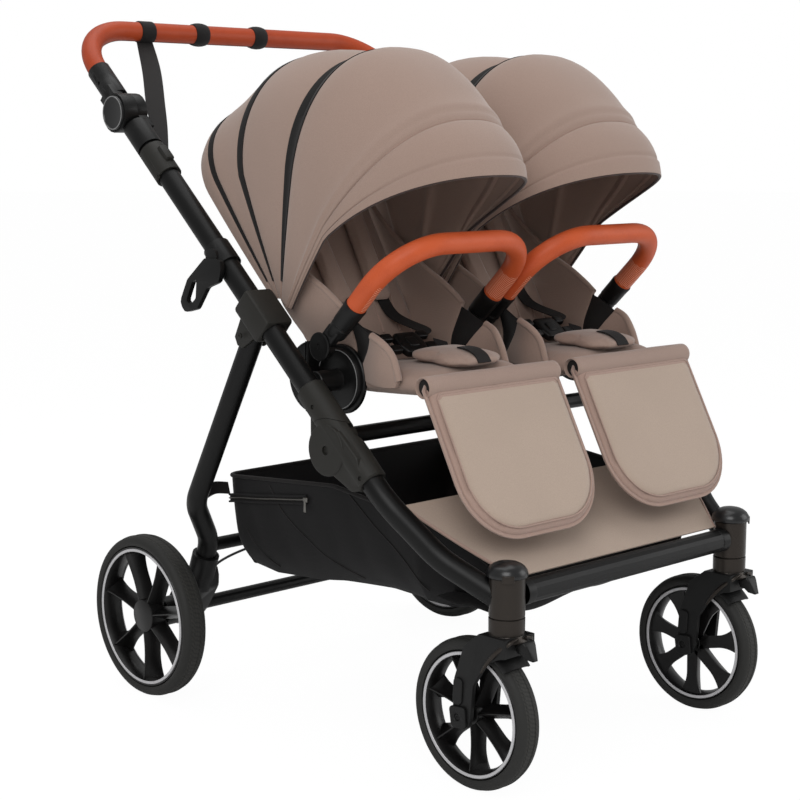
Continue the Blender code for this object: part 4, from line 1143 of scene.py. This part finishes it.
for suffix, side in SIDES.items():
    for label, knots in SEAMS:
        line = [curve_through(knots, k / 30) for k in range(31)]
        line = [basket_wall(side, p.x, p.y, 0.0004) for p in line]
        seam = tube("basket_seam_" + label + "_" + suffix, line, 0.0011, 8)
        basket_pieces.append(dress(seam, webbing, "frame"))

    def lay_zip(u, v):
        back = 0.556 - 0.195 * v
        up = 0.335 + 0.029 * v + 0.0012 * math.sin(6.0 * v)
        return basket_wall(side, back, up + (u - 0.5) * 0.013, 0.0012)

    tape = smooth(thicken(clean(grid("basket_zip_tape_" + suffix, 4, 40, lay_zip)), 0.0012), 60)
    basket_pieces.append(dress(tape, webbing, "frame"))
    for label, height in (("upper", 0.0058), ("lower", -0.0058)):
        fold = [lay_zip(0.5, k / 40) + Vector((side * 0.0012, 0, height)) for k in range(41)]
        fold = tube("basket_zip_fold_" + label + "_" + suffix, fold, 0.0017, 8)
        basket_pieces.append(dress(fold, nylon, "frame"))
    teeth = [lay_zip(0.5, k / 120) + Vector((side * (0.0012 + 0.0003 * (k % 2)), 0, 0)) for k in range(121)]
    teeth = tube("basket_zip_teeth_" + suffix, teeth, 0.0012, 8)
    slider_place = lay_zip(0.5, 1.0) + Vector((side * 0.003, 0, 0))
    slider = outline_of(
        [(-0.005, -0.004), (0.005, -0.003), (0.005, 0.003), (-0.005, 0.004)], 0.001, 3, 0.002,
    )
    slider = pad("slider", slider, (0, 0), lambda a, b, h: slider_place + Vector((h, a, b)), 0.004, 0.4, 4)
    pull = outline_of(
        [(-0.002, -0.001), (0.002, -0.001), (0.0028, -0.02), (-0.0028, -0.02)], 0.001, 3, 0.002,
    )
    pull_place = slider_place + Vector((side * 0.0016, 0, 0))
    pull = pad("pull", pull, (0, -0.01), lambda a, b, h: pull_place + Vector((h, a, b)), 0.0016, 0.4, 4)
    basket_pieces.append(dress(joined(teeth.name, slider, pull, teeth), zip_metal, "frame"))
    strap = [at(side * 0.288, 0.56, 0.356), at(side * 0.31, 0.556, 0.352)]
    strap = [basket_wall(side, 0.556, 0.352, 0.002)] + strap
    strap = band("basket_strap_" + suffix, strap, 0.02, Vector((0, 0.3, 1)), 0.0018, 12)
    basket_pieces.append(dress(strap, webbing, "frame"))
# (x, height) along the slack front edge
sling_low = [(-0.262, 0.264), (-0.215, 0.257), (-0.17, 0.2545), (-0.09, 0.2645)]
sling_low += [(-0.03, 0.263), (0.04, 0.268), (0.12, 0.272), (0.262, 0.27)]


def lay_sling(u, v):
    """The soft front of the basket, which sags below the front cross tube by an uneven amount."""
    low = curve_through(sling_low, u)
    knots = [(-0.046, 0.286), (-0.045, low.y + 0.008), (-0.034, low.y), (-0.005, low.y + 0.001)]
    spot = curve_through(knots + [(0.035, 0.262), (0.075, 0.266)], v)
    return at(low.x, spot.x, spot.y)


sling = smooth(thicken(clean(grid("basket_front_sling", 72, 20, lay_sling)), 0.0018, 0.0), 60)
dress(sling, nylon, "front_frame")
for piece in basket_pieces:
    tuple(at(0.0, BASKET_MIDDLE, BASKET_TOP))
    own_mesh(piece)

# Handle
# A round bar bent into a wide loop and sleeved in sewn leather, with three black cuffs. Each end is
# a moulded sleeve on a round joint with a push knob, and a wrist strap hangs from one cuff.


def softened(node, name, width=0.0012, segments=3):
    """A merged copy of a plain part with its sharp edges rounded over."""
    piece = frame["nodes"][node].copy()
    piece.data = piece.data.copy()
    piece.name = name
    piece.parent = None
    bpy.context.collection.objects.link(piece)
    only(piece)
    bpy.ops.object.mode_set(mode="EDIT")
    bpy.ops.mesh.select_all(action="SELECT")
    bpy.ops.mesh.remove_doubles(threshold=0.00002)
    bpy.ops.mesh.dissolve_limited(angle_limit=math.radians(1.5))
    bpy.ops.object.mode_set(mode="OBJECT")
    sharp = math.radians(35)
    applied(piece, "BEVEL", width=width, segments=segments, limit_method="ANGLE", angle_limit=sharp)
    return smooth(piece, 35)


def boolean(piece, other, operation):
    """Join, cut or keep by another shape, which is used up."""
    applied(piece, "BOOLEAN", object=other, operation=operation)
    bpy.data.objects.remove(other)
    return piece


def screw(piece, place, outward, radius=0.004, depth=0.0022):
    """Sink a round recess into the piece, with a small socket screw at its bottom."""
    outward = Vector(outward).normalized()
    cutter = spun(
        "cutter", [(-depth, 0.0), (-depth, radius), (depth, radius), (depth, 0.0)], place, outward, 20,
    )
    boolean(piece, cutter, "DIFFERENCE")
    rim = radius * 0.72
    head = [(-depth - 0.001, 0.0), (-depth - 0.001, rim), (-0.5 * depth, rim), (-0.35 * depth, 0.8 * rim)]
    head += [(-0.35 * depth, 0.4 * rim), (-0.8 * depth, 0.36 * rim), (-0.8 * depth, 0.0)]
    head = spun("head", head, place, outward, 16)
    return joined(piece.name, head, piece)


# The handle wears the bumpers' tan leather painted darker, as painted shade.
shaded_handle_hide = leather_finish("handle_leather", paint(171, 67, 32), paint(144, 51, 22), 0.0, 0.0, ())
HANDLE_REACH, LEATHER_START = 0.212, 0.104
handle_path = [beside(-SIDE_X, LEATHER_START), beside(-SIDE_X, HANDLE_REACH)]
handle_path += [beside(SIDE_X, HANDLE_REACH), beside(SIDE_X, LEATHER_START)]
handle_path = rounded(handle_path, 0.106, 20)
handle_path = spaced(handle_path, 0.01)
dress(tube("handle_grip_leather", handle_path, 0.0165, 32), shaded_handle_hide, "handle", "handle_grip")
stations = run_along(handle_path)
inward = math.atan2(stations[0][2].x, stations[0][1].x) + 0.6
seam = [
    spot + 0.0163 * (math.cos(inward) * across + math.sin(inward) * square)
    for spot, (share, across, square) in zip(handle_path, stations)
]
dress(tube("handle_seam", seam, 0.0008, 8), brown_tape, "handle", slot="leather")

CUFF_HALF, CUFF_EDGE, CUFF_CROWN = 0.0145, 0.0186, 0.0205
STRAP_CUFF_X = -0.19
CUFFS = (("strap", STRAP_CUFF_X, CUFF_EDGE), ("near", -0.075, CUFF_CROWN), ("far", 0.055, CUFF_CROWN))
for label, x, top_radius in CUFFS:
    profile = [(-CUFF_HALF, 0.0), (-CUFF_HALF, 0.017), (-CUFF_HALF + 0.0008, CUFF_EDGE - 0.0004)]
    profile += [(-CUFF_HALF + 0.002, CUFF_EDGE), (-0.5 * CUFF_HALF, 0.3 * CUFF_EDGE + 0.7 * top_radius)]
    profile = mirrored(profile + [(0.0, top_radius)])
    cuff = spun("handle_cuff_" + label, profile, beside(x, HANDLE_REACH), (1, 0, 0), 32)
    dress(cuff, webbing, "handle")

bar = softened("handle_bar", "handle_end_sleeves", 0.0012)
only(bar)
bpy.ops.object.mode_set(mode="EDIT")
bpy.ops.mesh.select_all(action="SELECT")
along = (beside(0, 1.0) - beside(0, 0.0)).normalized()
bpy.ops.mesh.bisect(plane_co=beside(0, 0.1035), plane_no=along, clear_outer=True, use_fill=True)
bpy.ops.object.mode_set(mode="OBJECT")
for side in SIDES.values():
    bar = screw(bar, beside(side * (SIDE_X + 0.018), 0.07, 0.002), (side, 0, 0), 0.003, 0.0016)
dress(bar, moulding, "handle", "handle_bar")

# Grey paint for the knobs' rim rings. The seat hubs wear it as a painted highlight ring.
grey_rim_and_hub_highlight = Finish("knob_rim_paint", "dark_plastic", paint(128, 128, 128), 0.4)
grey_rim_and_hub_highlight.weather(0.28, 0.14, 60.0)
gloss = Finish("gloss_black_plastic", "dark_plastic", paint(16, 16, 17), 0.18, Specular_IOR_Level=0.5)
gloss.weather(0.24, 0.12, 26.0)
for suffix, side in SIDES.items():
    pivot = beside(side * 0.3572, 0.0)
    profile = [
        (0.0, 0.0), (0.0, 0.0268), (0.0014, 0.0278), (0.0072, 0.0278), (0.009, 0.027), (0.0093, 0.0258),
    ]
    profile += [(0.0093, 0.0246), (0.0082, 0.0238), (0.0078, 0.0225), (0.008, 0.0)]
    knob = spun("knob_cap_" + suffix, profile, pivot, (side, 0, 0), 48)
    dress(knob, gloss, "knob_" + suffix, "knob_" + suffix)
    ring = [(0.0088, 0.0268), (0.0095, 0.0266), (0.0096, 0.0252), (0.009, 0.0248), (0.0088, 0.0268)]
    ring = spun("knob_ring_" + suffix, ring, pivot, (side, 0, 0), 48)
    dress(ring, grey_rim_and_hub_highlight, "knob_" + suffix)
    joint = "handle_joint_" + suffix
    dress(softened(joint, "handle_joint_cover_" + suffix), moulding, "frame", joint)

strap_top = beside(STRAP_CUFF_X, HANDLE_REACH) + Vector((0, 0, -0.0165))
strap_foot = beside(-0.3175, -0.088, 0.004)
strap_knots = [strap_top, strap_top.lerp(strap_foot, 0.3) + Vector((0.004, 0.0, 0.0))]
strap_knots += [strap_top.lerp(strap_foot, 0.65), strap_foot]
turned = [(1.0, 0.0, 0.0), (0.93, -0.36, 0.0), (0.75, -0.62, -0.2), (0.1, -0.75, -0.66)]
strap = band("wrist_strap_band", strap_knots, 0.032, turned, 0.0022, 40)
dress(strap, webbing, None, "wrist_strap")
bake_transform(strap)

# Side fittings
# Moulded nylon parts on the side tubes: the sleeve where the tube parts join, the cup-holder loop,
# the rear leg's hinge bracket and the fold lock, whose two halves turn on one bolt.

casting = Finish("dark_grey_casting", "dark_plastic", paint(36, 35, 32), 0.5, Specular_IOR_Level=0.26)
casting.weather(0.42, 0.18, 22.0, (1100.0, 4.0, 0.00012, 0.6))
LOCK_PIVOT = (0.203, 0.473)
LOCK_BORE = 0.0462


def plate(name, outline, low, high, edge=0.0015):
    """A moulded plate over a (back, up) outline between two x places, with rounded rims."""
    turns = (0.0, math.pi / 6, math.pi / 3, math.pi / 2)
    steps = [(edge * (1 - math.cos(a)), edge * (1 - math.sin(a))) for a in turns]
    rings = [(low, 2.4 * edge)] + [(low + depth, inset) for depth, inset in steps]
    rings += [(high - depth, inset) for depth, inset in reversed(steps)] + [(high, 2.4 * edge)]
    loops = [[at(x, *spot) for spot in drawn_in(outline, inset)] for x, inset in rings]
    count, last = len(outline), len(rings) - 1
    sheet = grid(name, count, last, lambda u, v: loops[round(v * last)][round(u * count) % count])
    return smooth(clean(sheet, caps=True), 35)


def ring_of(centre, radius, count=48):
    """A circle as a flat outline."""
    turns = [2 * math.pi * k / count for k in range(count)]
    return [(centre[0] + radius * math.cos(turn), centre[1] + radius * math.sin(turn)) for turn in turns]


for suffix, side in SIDES.items():

    def slab(outline, inner, outer, edge=0.0015):
        return plate("slab", outline, *sorted((side * inner, side * outer)), edge)

    def bored(inner, outer, radius):
        return slab(ring_of(LOCK_PIVOT, radius, 64), inner, outer, 0.0001)

    line = beside(side, 1.0) - beside(side, 0.0)
    start = beside(side * SIDE_X, 0.0)
    upper = [
        (-0.603, 0.0), (-0.603, 0.0195), (-0.6055, 0.0222), (-0.65, 0.0226), (-0.69, 0.0226),
        (-0.69, 0.0),
    ]
    upper = boolean(spun("sleeve", upper, start, line, 40), bored(0.3374, 0.366, LOCK_BORE), "DIFFERENCE")
    tail = [(0.263, 0.445), (0.263, 0.517), (0.243, 0.54), (0.205, 0.515)]
    tail += [(0.178, 0.5), (0.172, 0.452), (0.19, 0.44), (0.25, 0.44)]
    upper = boolean(upper, slab(outline_of(tail, 0.01, 4, 0.005), 0.32, 0.3371), "UNION")
    upper = screw(upper, beside(side * (SIDE_X + 0.0215), -0.64, 0.004), (side, 0, 0.15), 0.0034, 0.0024)
    upper.name = "lock_upper_body_" + suffix
    dress(smooth(upper, 35), casting, "frame", "lock_upper_" + suffix)

    lower = [
        (-0.7842, 0.0), (-0.7842, 0.02), (-0.782, 0.0222), (-0.74, 0.0228), (-0.7008, 0.0228),
        (-0.7008, 0.0),
    ]
    lower = boolean(spun("sleeve", lower, start, line, 40), bored(0.31, 0.3378, LOCK_BORE), "DIFFERENCE")
    bridge = spun(
        "bridge", [(-0.705, 0.0), (-0.705, 0.0228), (-0.65, 0.0228), (-0.65, 0.0)], start, line, 40,
    )
    bridge = boolean(bridge, bored(0.3378, 0.366, 0.0456), "INTERSECT")
    lower = boolean(lower, bridge, "UNION")
    disc = slab(ring_of(LOCK_PIVOT, 0.0378, 56), 0.338, 0.3606, 0.0022)
    lower = boolean(lower, disc, "UNION")
    cheek = [(0.19, 0.438), (0.15, 0.42), (0.128, 0.424), (0.138, 0.47), (0.18, 0.505), (0.215, 0.49)]
    lower = boolean(lower, slab(outline_of(cheek, 0.008, 4, 0.005), 0.3384, 0.359, 0.003), "UNION")
    lower = screw(lower, at(side * 0.3606, *LOCK_PIVOT), (side, 0, 0), 0.0068, 0.0034)
    lower = screw(lower, beside(side * (SIDE_X + 0.0215), -0.7755, 0.004), (side, 0, 0.15), 0.0034, 0.0024)
    lower.name = "lock_lower_body_" + suffix
    dress(smooth(lower, 35), casting, "front_frame", "lock_lower_" + suffix)

    coupler = softened("tube_coupler_" + suffix, "tube_sleeve_" + suffix, 0.0042, 5)
    coupler = screw(coupler, beside(side * (SIDE_X + 0.0212), -0.15, 0.0), (side, 0, 0), 0.0032, 0.002)
    dress(coupler, casting, "frame", "tube_coupler_" + suffix)
    bracket = softened("rear_hinge_bracket_" + suffix, "rear_leg_hinge_" + suffix, 0.008, 5)
    bracket = screw(bracket, at(side * 0.3605, 0.4, 0.622), (side, 0, 0), 0.006, 0.0028)
    dress(bracket, casting, "frame", "rear_hinge_bracket_" + suffix)
cup_loop = softened("cup_holder_bracket", "cup_holder_loop", 0.0026, 4)
dress(cup_loop, moulding, "frame", "cup_holder_bracket")

# Seat hubs
# A moulded hub on each side of the frame carries the seats: a wide flange against the seat with a
# painted highlight ring round its face, a thin neck, and a D-shaped housing on the tube's inner side.

HUB_CENTRE = (0.276, 0.56)
for suffix, side in SIDES.items():
    centre = at(0.0, *HUB_CENTRE)
    hub = [(0.259, 0.0), (0.259, 0.051), (0.26, 0.0524), (0.265, 0.0524), (0.2664, 0.0512), (0.2668, 0.047)]
    hub += [
        (0.27, 0.0464), (0.2722, 0.045), (0.2732, 0.0425), (0.274, 0.03), (0.2744, 0.017),
        (0.276, 0.0162),
    ]
    hub += [(0.315, 0.0162), (0.3162, 0.015), (0.3162, 0.0)]
    hub = spun("hub", hub, centre, (side, 0, 0), 56)
    housing = [spot for spot in ring_of((0.307, 0.5625), 0.054, 72) if spot[0] > 0.316]
    housing.sort(key=lambda spot: spot[1])
    housing = plate("housing", housing, *sorted((side * 0.27, side * 0.2962)), 0.0022)
    dress(joined("seat_hub_disc_" + suffix, housing, hub), moulding, "frame", "seat_hub_" + suffix)
    # A pale ring round the hub's face: a painted highlight along its rim.
    rim = [(0.2722, 0.0442), (0.2732, 0.0448), (0.2737, 0.0441), (0.2733, 0.0433), (0.2722, 0.0442)]
    rim = spun("seat_hub_rim_" + suffix, rim, centre, (side, 0, 0), 56)
    dress(rim, grey_rim_and_hub_highlight, "frame")

# Castors
# Each front corner has a turned steel head welded to the frame under a glossy cap, a moulded fork
# with a fender and a bolted axle, and a beak lever in front that locks the swivel.

gunmetal = Finish(
    "gunmetal_coat", "black_metal", paint(52, 47, 43), 0.3, Metallic=0.6, Specular_IOR_Level=0.3
).weather(0.22, 0.12, 18.0, (1200.0, 3.0, 0.00008, 0.5))
fork_plastic = Finish("fork_moulding", "dark_plastic", paint(17, 17, 17), 0.48, Specular_IOR_Level=0.28)
fork_plastic.weather(0.4, 0.18, 26.0, (1100.0, 4.0, 0.00012, 0.6))
FRONT_X, REAR_X = 0.257, 0.347
CASTOR_BACK = -0.058
FRONT_AXLE, REAR_AXLE = (0.0, 0.11), (0.667, 0.134)


def face_name(sign, side):
    """Which face of a wheel or fork this is, seen from the middle of the stroller."""
    return "out_" if sign == side else "in_"


def ridge_size(share):
    """Radius of the rib along the fork's crown, thickest in its middle."""
    return 0.0018 + 0.0018 * math.sin(math.pi * share)


for suffix, side in SIDES.items():
    x = side * FRONT_X
    foot = at(x, CASTOR_BACK, 0.0)
    head = [(0.2625, 0.0), (0.2625, 0.024), (0.2636, 0.0252), (0.266, 0.0254), (0.3185, 0.0254)]
    head += [(0.3195, 0.0246), (0.3195, 0.0)]
    head = spun("castor_head_sleeve_" + suffix, head, foot, (0, 0, 1), 48)
    dress(head, gunmetal, "front_frame", "castor_head_" + suffix)
    dome = [
        (0.3197, 0.0), (0.3197, 0.028), (0.3206, 0.029), (0.324, 0.0293), (0.3285, 0.0281),
        (0.333, 0.0251),
    ]
    dome += [(0.3366, 0.0206), (0.339, 0.0152), (0.3404, 0.0094), (0.3409, 0.0047), (0.341, 0.0)]
    dress(spun("castor_cap_" + suffix, dome, foot, (0, 0, 1), 48), gloss, "front_frame")
    facing = Vector((side * 0.69, -0.72, 0.0)).normalized()
    sideways = Vector((facing.y, -facing.x, 0.0))

    def on_cap(across, up, height):
        out = 0.0288 - 18 * across * across + height
        return foot + across * sideways + out * facing + Vector((0, 0, up))

    key = [(-0.0085, 0.315), (0.0085, 0.315), (0.0085, 0.3262), (-0.0085, 0.3262)]
    key = outline_of(key, 0.0015, 3, 0.002)
    key = pad("castor_key_" + suffix, key, (0, 0.3205), on_cap, 0.0026, 0.3, 4)
    dress(key, gunmetal, "front_frame")

    run = (at(side * 0.299, 0.031, 0.334) - at(side * FRONT_X, CASTOR_BACK, 0.282)).normalized()
    spot = at(side * FRONT_X, CASTOR_BACK, 0.2845) + 0.0275 * run
    first = run.orthogonal().normalized()
    second = run.cross(first)
    level_across = Vector((run.y, -run.x, 0)).normalized()
    bead = []
    for k in range(73):
        turn = 2 * math.pi * k / 72
        lie = math.cos(turn) * first + math.sin(turn) * second
        saddle = run * (0.0075 * (lie.dot(level_across)) ** 2)
        bead.append(spot + (0.0182 + 0.0005 * math.sin(13 * turn)) * lie - saddle)
    stub = [(0.216, 0.0), (0.216, 0.0172), (0.2166, 0.0179), (0.22, 0.0184), (0.232, 0.0184), (0.232, 0.0)]
    stub = spun("cross_tube_stub_" + suffix, stub, at(0.0, -0.06, 0.292), (side, 0, 0), 36)
    dress(stub, coat, "front_frame")
    weld = tube("castor_weld_" + suffix, bead, 0.0019, 10)
    dress(weld, coat, "front_frame")

    body = "castor_" + suffix
    fork = softened("fork_" + suffix, "fork_arms_" + suffix, 0.0042, 5)
    dress(fork, fork_plastic, body, "fork_" + suffix)
    collar = [
        (0.23, 0.0), (0.23, 0.0296), (0.233, 0.0288), (0.2368, 0.0258), (0.2385, 0.025),
        (0.2392, 0.0246),
    ]
    collar += [(0.2397, 0.0254), (0.2612, 0.0256), (0.2621, 0.0248), (0.2621, 0.0)]
    dress(spun("fork_collar_" + suffix, collar, foot, (0, 0, 1), 48), gunmetal, body)

    def lay_fender(u, v):
        across = 2 * u - 1
        turn = math.radians(100.0 + 34.0 * v)
        reach = 0.1185 - 0.004 * abs(across) ** 4 - 0.002 * v
        half = 0.0296 - 0.005 * max(0.0, v - 0.4) ** 1.3
        return at(x + across * half, reach * math.cos(turn), FRONT_AXLE[1] + reach * math.sin(turn))

    fender = smooth(thicken(clean(grid("fork_fender_" + suffix, 28, 24, lay_fender)), 0.003, -1.0), 50)
    dress(fender, fork_plastic, body)
    for sign in (-1.0, 1.0):
        # A rib along each edge of the crown. It is dark fork plastic given the paler gunmetal finish as a
        # painted highlight.
        knots = [(0.03, -0.0385, 0.184), (0.0306, -0.051, 0.201), (0.0298, -0.068, 0.219)]
        knots += [(0.0225, -0.0838, 0.2325), (0.008, -0.0866, 0.2378)]
        knots = [at(x + sign * out, back, up) for out, back, up in knots]
        ridge = [curve_through(knots, k / 40) for k in range(41)]
        ridge = tube("fork_ridge_" + face_name(sign, side) + suffix, ridge, ridge_size, 12)
        dress(ridge, gunmetal, body, slot="dark_plastic")

    for sign in (-1.0, 1.0):
        face = x + sign * 0.03
        pill = outline_of(
            [(-0.004, 0.166), (0.013, 0.168), (0.016, 0.128), (-0.002, 0.126)], 0.0078, 6, 0.002,
        )
        cover_box = outline_of(
            [(-0.013, 0.096), (0.016, 0.093), (0.021, 0.124), (-0.01, 0.127)], 0.006, 5, 0.002,
        )
        for outline, depth, label in ((pill, 0.0026, "pad"), (cover_box, 0.0044, "axle_cover")):
            low, high = sorted((face - sign * 0.0004, face + sign * depth))
            trim = plate("fork_" + label + "_" + face_name(sign, side) + suffix, outline, low, high, 0.0012)
            if label == "axle_cover":
                trim = screw(trim, at(face + sign * depth, 0.0045, 0.11), (sign, 0, 0), 0.0056, 0.0024)
            dress(trim, fork_plastic, body)
    lever = softened("swivel_lock_" + suffix, "swivel_lever_" + suffix, 0.0024, 4)
    for vertex in lever.data.vertices:
        reach = min(1.0, max(0.0, (at(0, -0.1, 0).y - vertex.co.y) / 0.012))
        vertex.co.x = x + (vertex.co.x - x) * (1.0 - 0.55 * reach)
    dress(lever, moulding, "swivel_lock_" + suffix, "swivel_lock_" + suffix)

# Wheels
# A soft black tyre with two ribs round its tread, on a deep one-piece nylon rim with seven ribbed
# spokes, and a pale hoop pressed into the rim on both faces.


def tread_rubber():
    """Black rubber on the tyre's own UV: fine blocks across the tread, smooth side walls."""
    rubber = Finish("tyre_rubber", "rubber", paint(38, 38, 36), 0.62, Specular_IOR_Level=0.35)
    split = rubber.node("SeparateXYZ", {}, {0: rubber.place("UV")}, 1)
    around = Wire(rubber, split.socket.node.outputs[0])
    tread = (split > 0.3) * (split < 0.7)
    blocks = around.math("SINE", around * (2 * math.pi * 110) + split * 40.0)
    lanes = split.math("SINE", split * 150.0)
    dust = rubber.noise(60.0, 4.0)
    raised = tread * ((blocks > -0.2) * 0.7 + (lanes > 0.0) * 0.3)
    rubber.set(
        "Base Color", rubber.blend(raised * 0.35 + dust * 0.25, paint(30, 30, 29), paint(62, 61, 57)),
    )
    rubber.set("Roughness", 0.55 + 0.2 * dust)
    rubber.bump(raised + rubber.noise(700.0, 2.0) * 0.15, 0.0012, 0.8)
    return rubber


rubber = tread_rubber()
nylon_rim = Finish("rim_nylon", "dark_plastic", paint(13, 12, 12), 0.3, Specular_IOR_Level=0.38)
nylon_rim.weather(0.24, 0.16, 34.0, (800.0, 3.0, 0.00006, 0.5))
hoop_paint = Finish("pale_hoop", "dark_plastic", paint(196, 195, 197), 0.42, Metallic=0.2)
hoop_paint.weather(0.36, 0.16, 80.0, (500.0, 2.0, 0.00005, 0.4))
SPOKES = 7

for label, wheel_x, axle, bead, half, rim_half, cap_radius, hoop in (
    ("front", FRONT_X, FRONT_AXLE, 0.0927, 0.019, 0.015, 0.0155, 0.0882),
    ("rear", REAR_X, REAR_AXLE, 0.1167, 0.021, 0.017, 0.0275, 0.1105),
):
    tread = bead + 0.0173
    side_wall = [
        (0.0, bead - 0.0004), (0.7, bead), (0.88, bead + 0.001), (0.985, bead + 0.004),
        (1.0, bead + 0.0068),
    ]
    side_wall += [
        (0.955, bead + 0.0102), (0.85, bead + 0.0134), (0.7, bead + 0.0154), (0.52, tread - 0.0009),
    ]
    side_wall += [(0.41, tread - 0.0007), (0.38, tread - 0.0001), (0.29, tread), (0.26, tread - 0.0009)]
    side_wall.append((0.0, tread - 0.0007))
    profile = mirrored([(half * across, radius) for across, radius in side_wall])
    lip = rim_half
    barrel = [
        (lip, bead - 0.0002), (lip + 0.0012, bead - 0.0012), (lip + 0.0012, bead - 0.0066),
        (lip - 0.001, bead - 0.008),
    ]
    barrel += [(lip * 0.3, bead - 0.0112), (0.0, bead - 0.0116)]
    barrel = mirrored(barrel) + [barrel[0]]
    hub_face = rim_half - 0.0025
    hub = [(-hub_face, 0.0), (-hub_face, cap_radius - 0.002), (-hub_face + 0.002, cap_radius)]
    hub += [
        (hub_face - 0.003, cap_radius), (hub_face - 0.001, cap_radius - 0.0008),
        (hub_face, cap_radius - 0.0026), (hub_face + 0.0006, 0.0),
    ]
    for suffix, side in SIDES.items():
        centre = at(side * wheel_x, *axle)
        body = label + "_wheel_" + suffix
        tyre = spun("tyre_" + label + "_" + suffix, profile, centre, (side, 0, 0), 120)
        dress(tyre, rubber, body, label + "_tyre_" + suffix)
        pieces = [
            spun("barrel", barrel, centre, (side, 0, 0), 96), spun("hub", hub, centre, (side, 0, 0), 40),
        ]
        for k in range(SPOKES):
            turn = 2 * math.pi * (k + 0.25) / SPOKES
            out = Vector((0, math.cos(turn), math.sin(turn)))
            over = Vector((0, -math.sin(turn), math.cos(turn)))

            def lay_spoke(u, v):
                reach = cap_radius * 0.85 + (bead - 0.0075 - cap_radius * 0.85) * v
                wide = 0.009 + 0.0015 * (1 - v) + 0.046 * max(0.0, v - 0.5) ** 2
                foot = 0.003 - rim_half
                fin = hub_face - 0.0012 + (lip - 0.001 - hub_face) * v - 0.003 * math.sin(math.pi * v)
                section = [(-wide, foot), (-wide, foot + 0.003), (-0.0034, fin - 0.006), (-0.001, fin)]
                section += [(-across, depth) for across, depth in reversed(section)]
                across, depth = section[round(u * 8) % 8]
                return centre + reach * out + across * over + depth * Vector((side, 0, 0))

            pieces.append(smooth(clean(grid("spoke", 8, 14, lay_spoke), caps=True), 35))
        rim = joined("rim_" + label + "_" + suffix, *reversed(pieces))
        dress(rim, nylon_rim, body, label + "_rim_" + suffix)
        edge = rim_half + 0.0012
        for sign, face in ((1.0, "out"), (-1.0, "in")):
            ring = [(edge, -0.0024), (edge + 0.0009, -0.0018), (edge + 0.0011, 0.0)]
            ring += [(edge + 0.0009, 0.0018), (edge, 0.0024), (edge, -0.0024)]
            ring = [(sign * along, hoop + radius) for along, radius in ring]
            ring = spun("hoop_" + label + "_" + face + "_" + suffix, ring, centre, (side, 0, 0), 120)
            dress(ring, hoop_paint, body)

# Rear axle and brake
# A moulded bracket at the foot of each leg holds the axle tube and the wheel, a foot pedal on one
# side turns in its bracket, and a sheathed cable links the two brakes.

for suffix, side in SIDES.items():
    bracket = softened("axle_bracket_" + suffix, "axle_housing_" + suffix, 0.0022, 4)
    dress(bracket, moulding, "rear_frame", "axle_bracket_" + suffix)
pedal = softened("brake_pedal", "brake_pedal_lever", 0.002, 4)
dress(pedal, moulding, "brake_pedal", "brake_pedal")

half_route = [(0.2517, 0.655, 0.16), (0.245, 0.655, 0.16), (0.232, 0.657, 0.174), (0.205, 0.662, 0.2)]
half_route.append((0.12, 0.664, 0.216))
route = [at(-x, back, up) for x, back, up in half_route] + [at(0.0, 0.664, 0.22)]
route += [at(*spot) for spot in reversed(half_route)]
cable_path = [curve_through(route, k / 140) for k in range(141)]
sheath = Finish("cable_sheath", "dark_plastic", paint(44, 44, 46), 0.3, Coat_Roughness=0.2)
sheath.weather(0.26, 0.12, 90.0, (900.0, 2.0, 0.00005, 0.4))
cable = tube("brake_cable_sheath", cable_path, 0.0022, 14)
dress(cable, sheath, "rear_frame", "brake_cable")
cable_length = sum((b - a).length for a, b in zip(cable_path, cable_path[1:]))
tuple(cable_path[0])
[tuple(p) for p in cable_path]
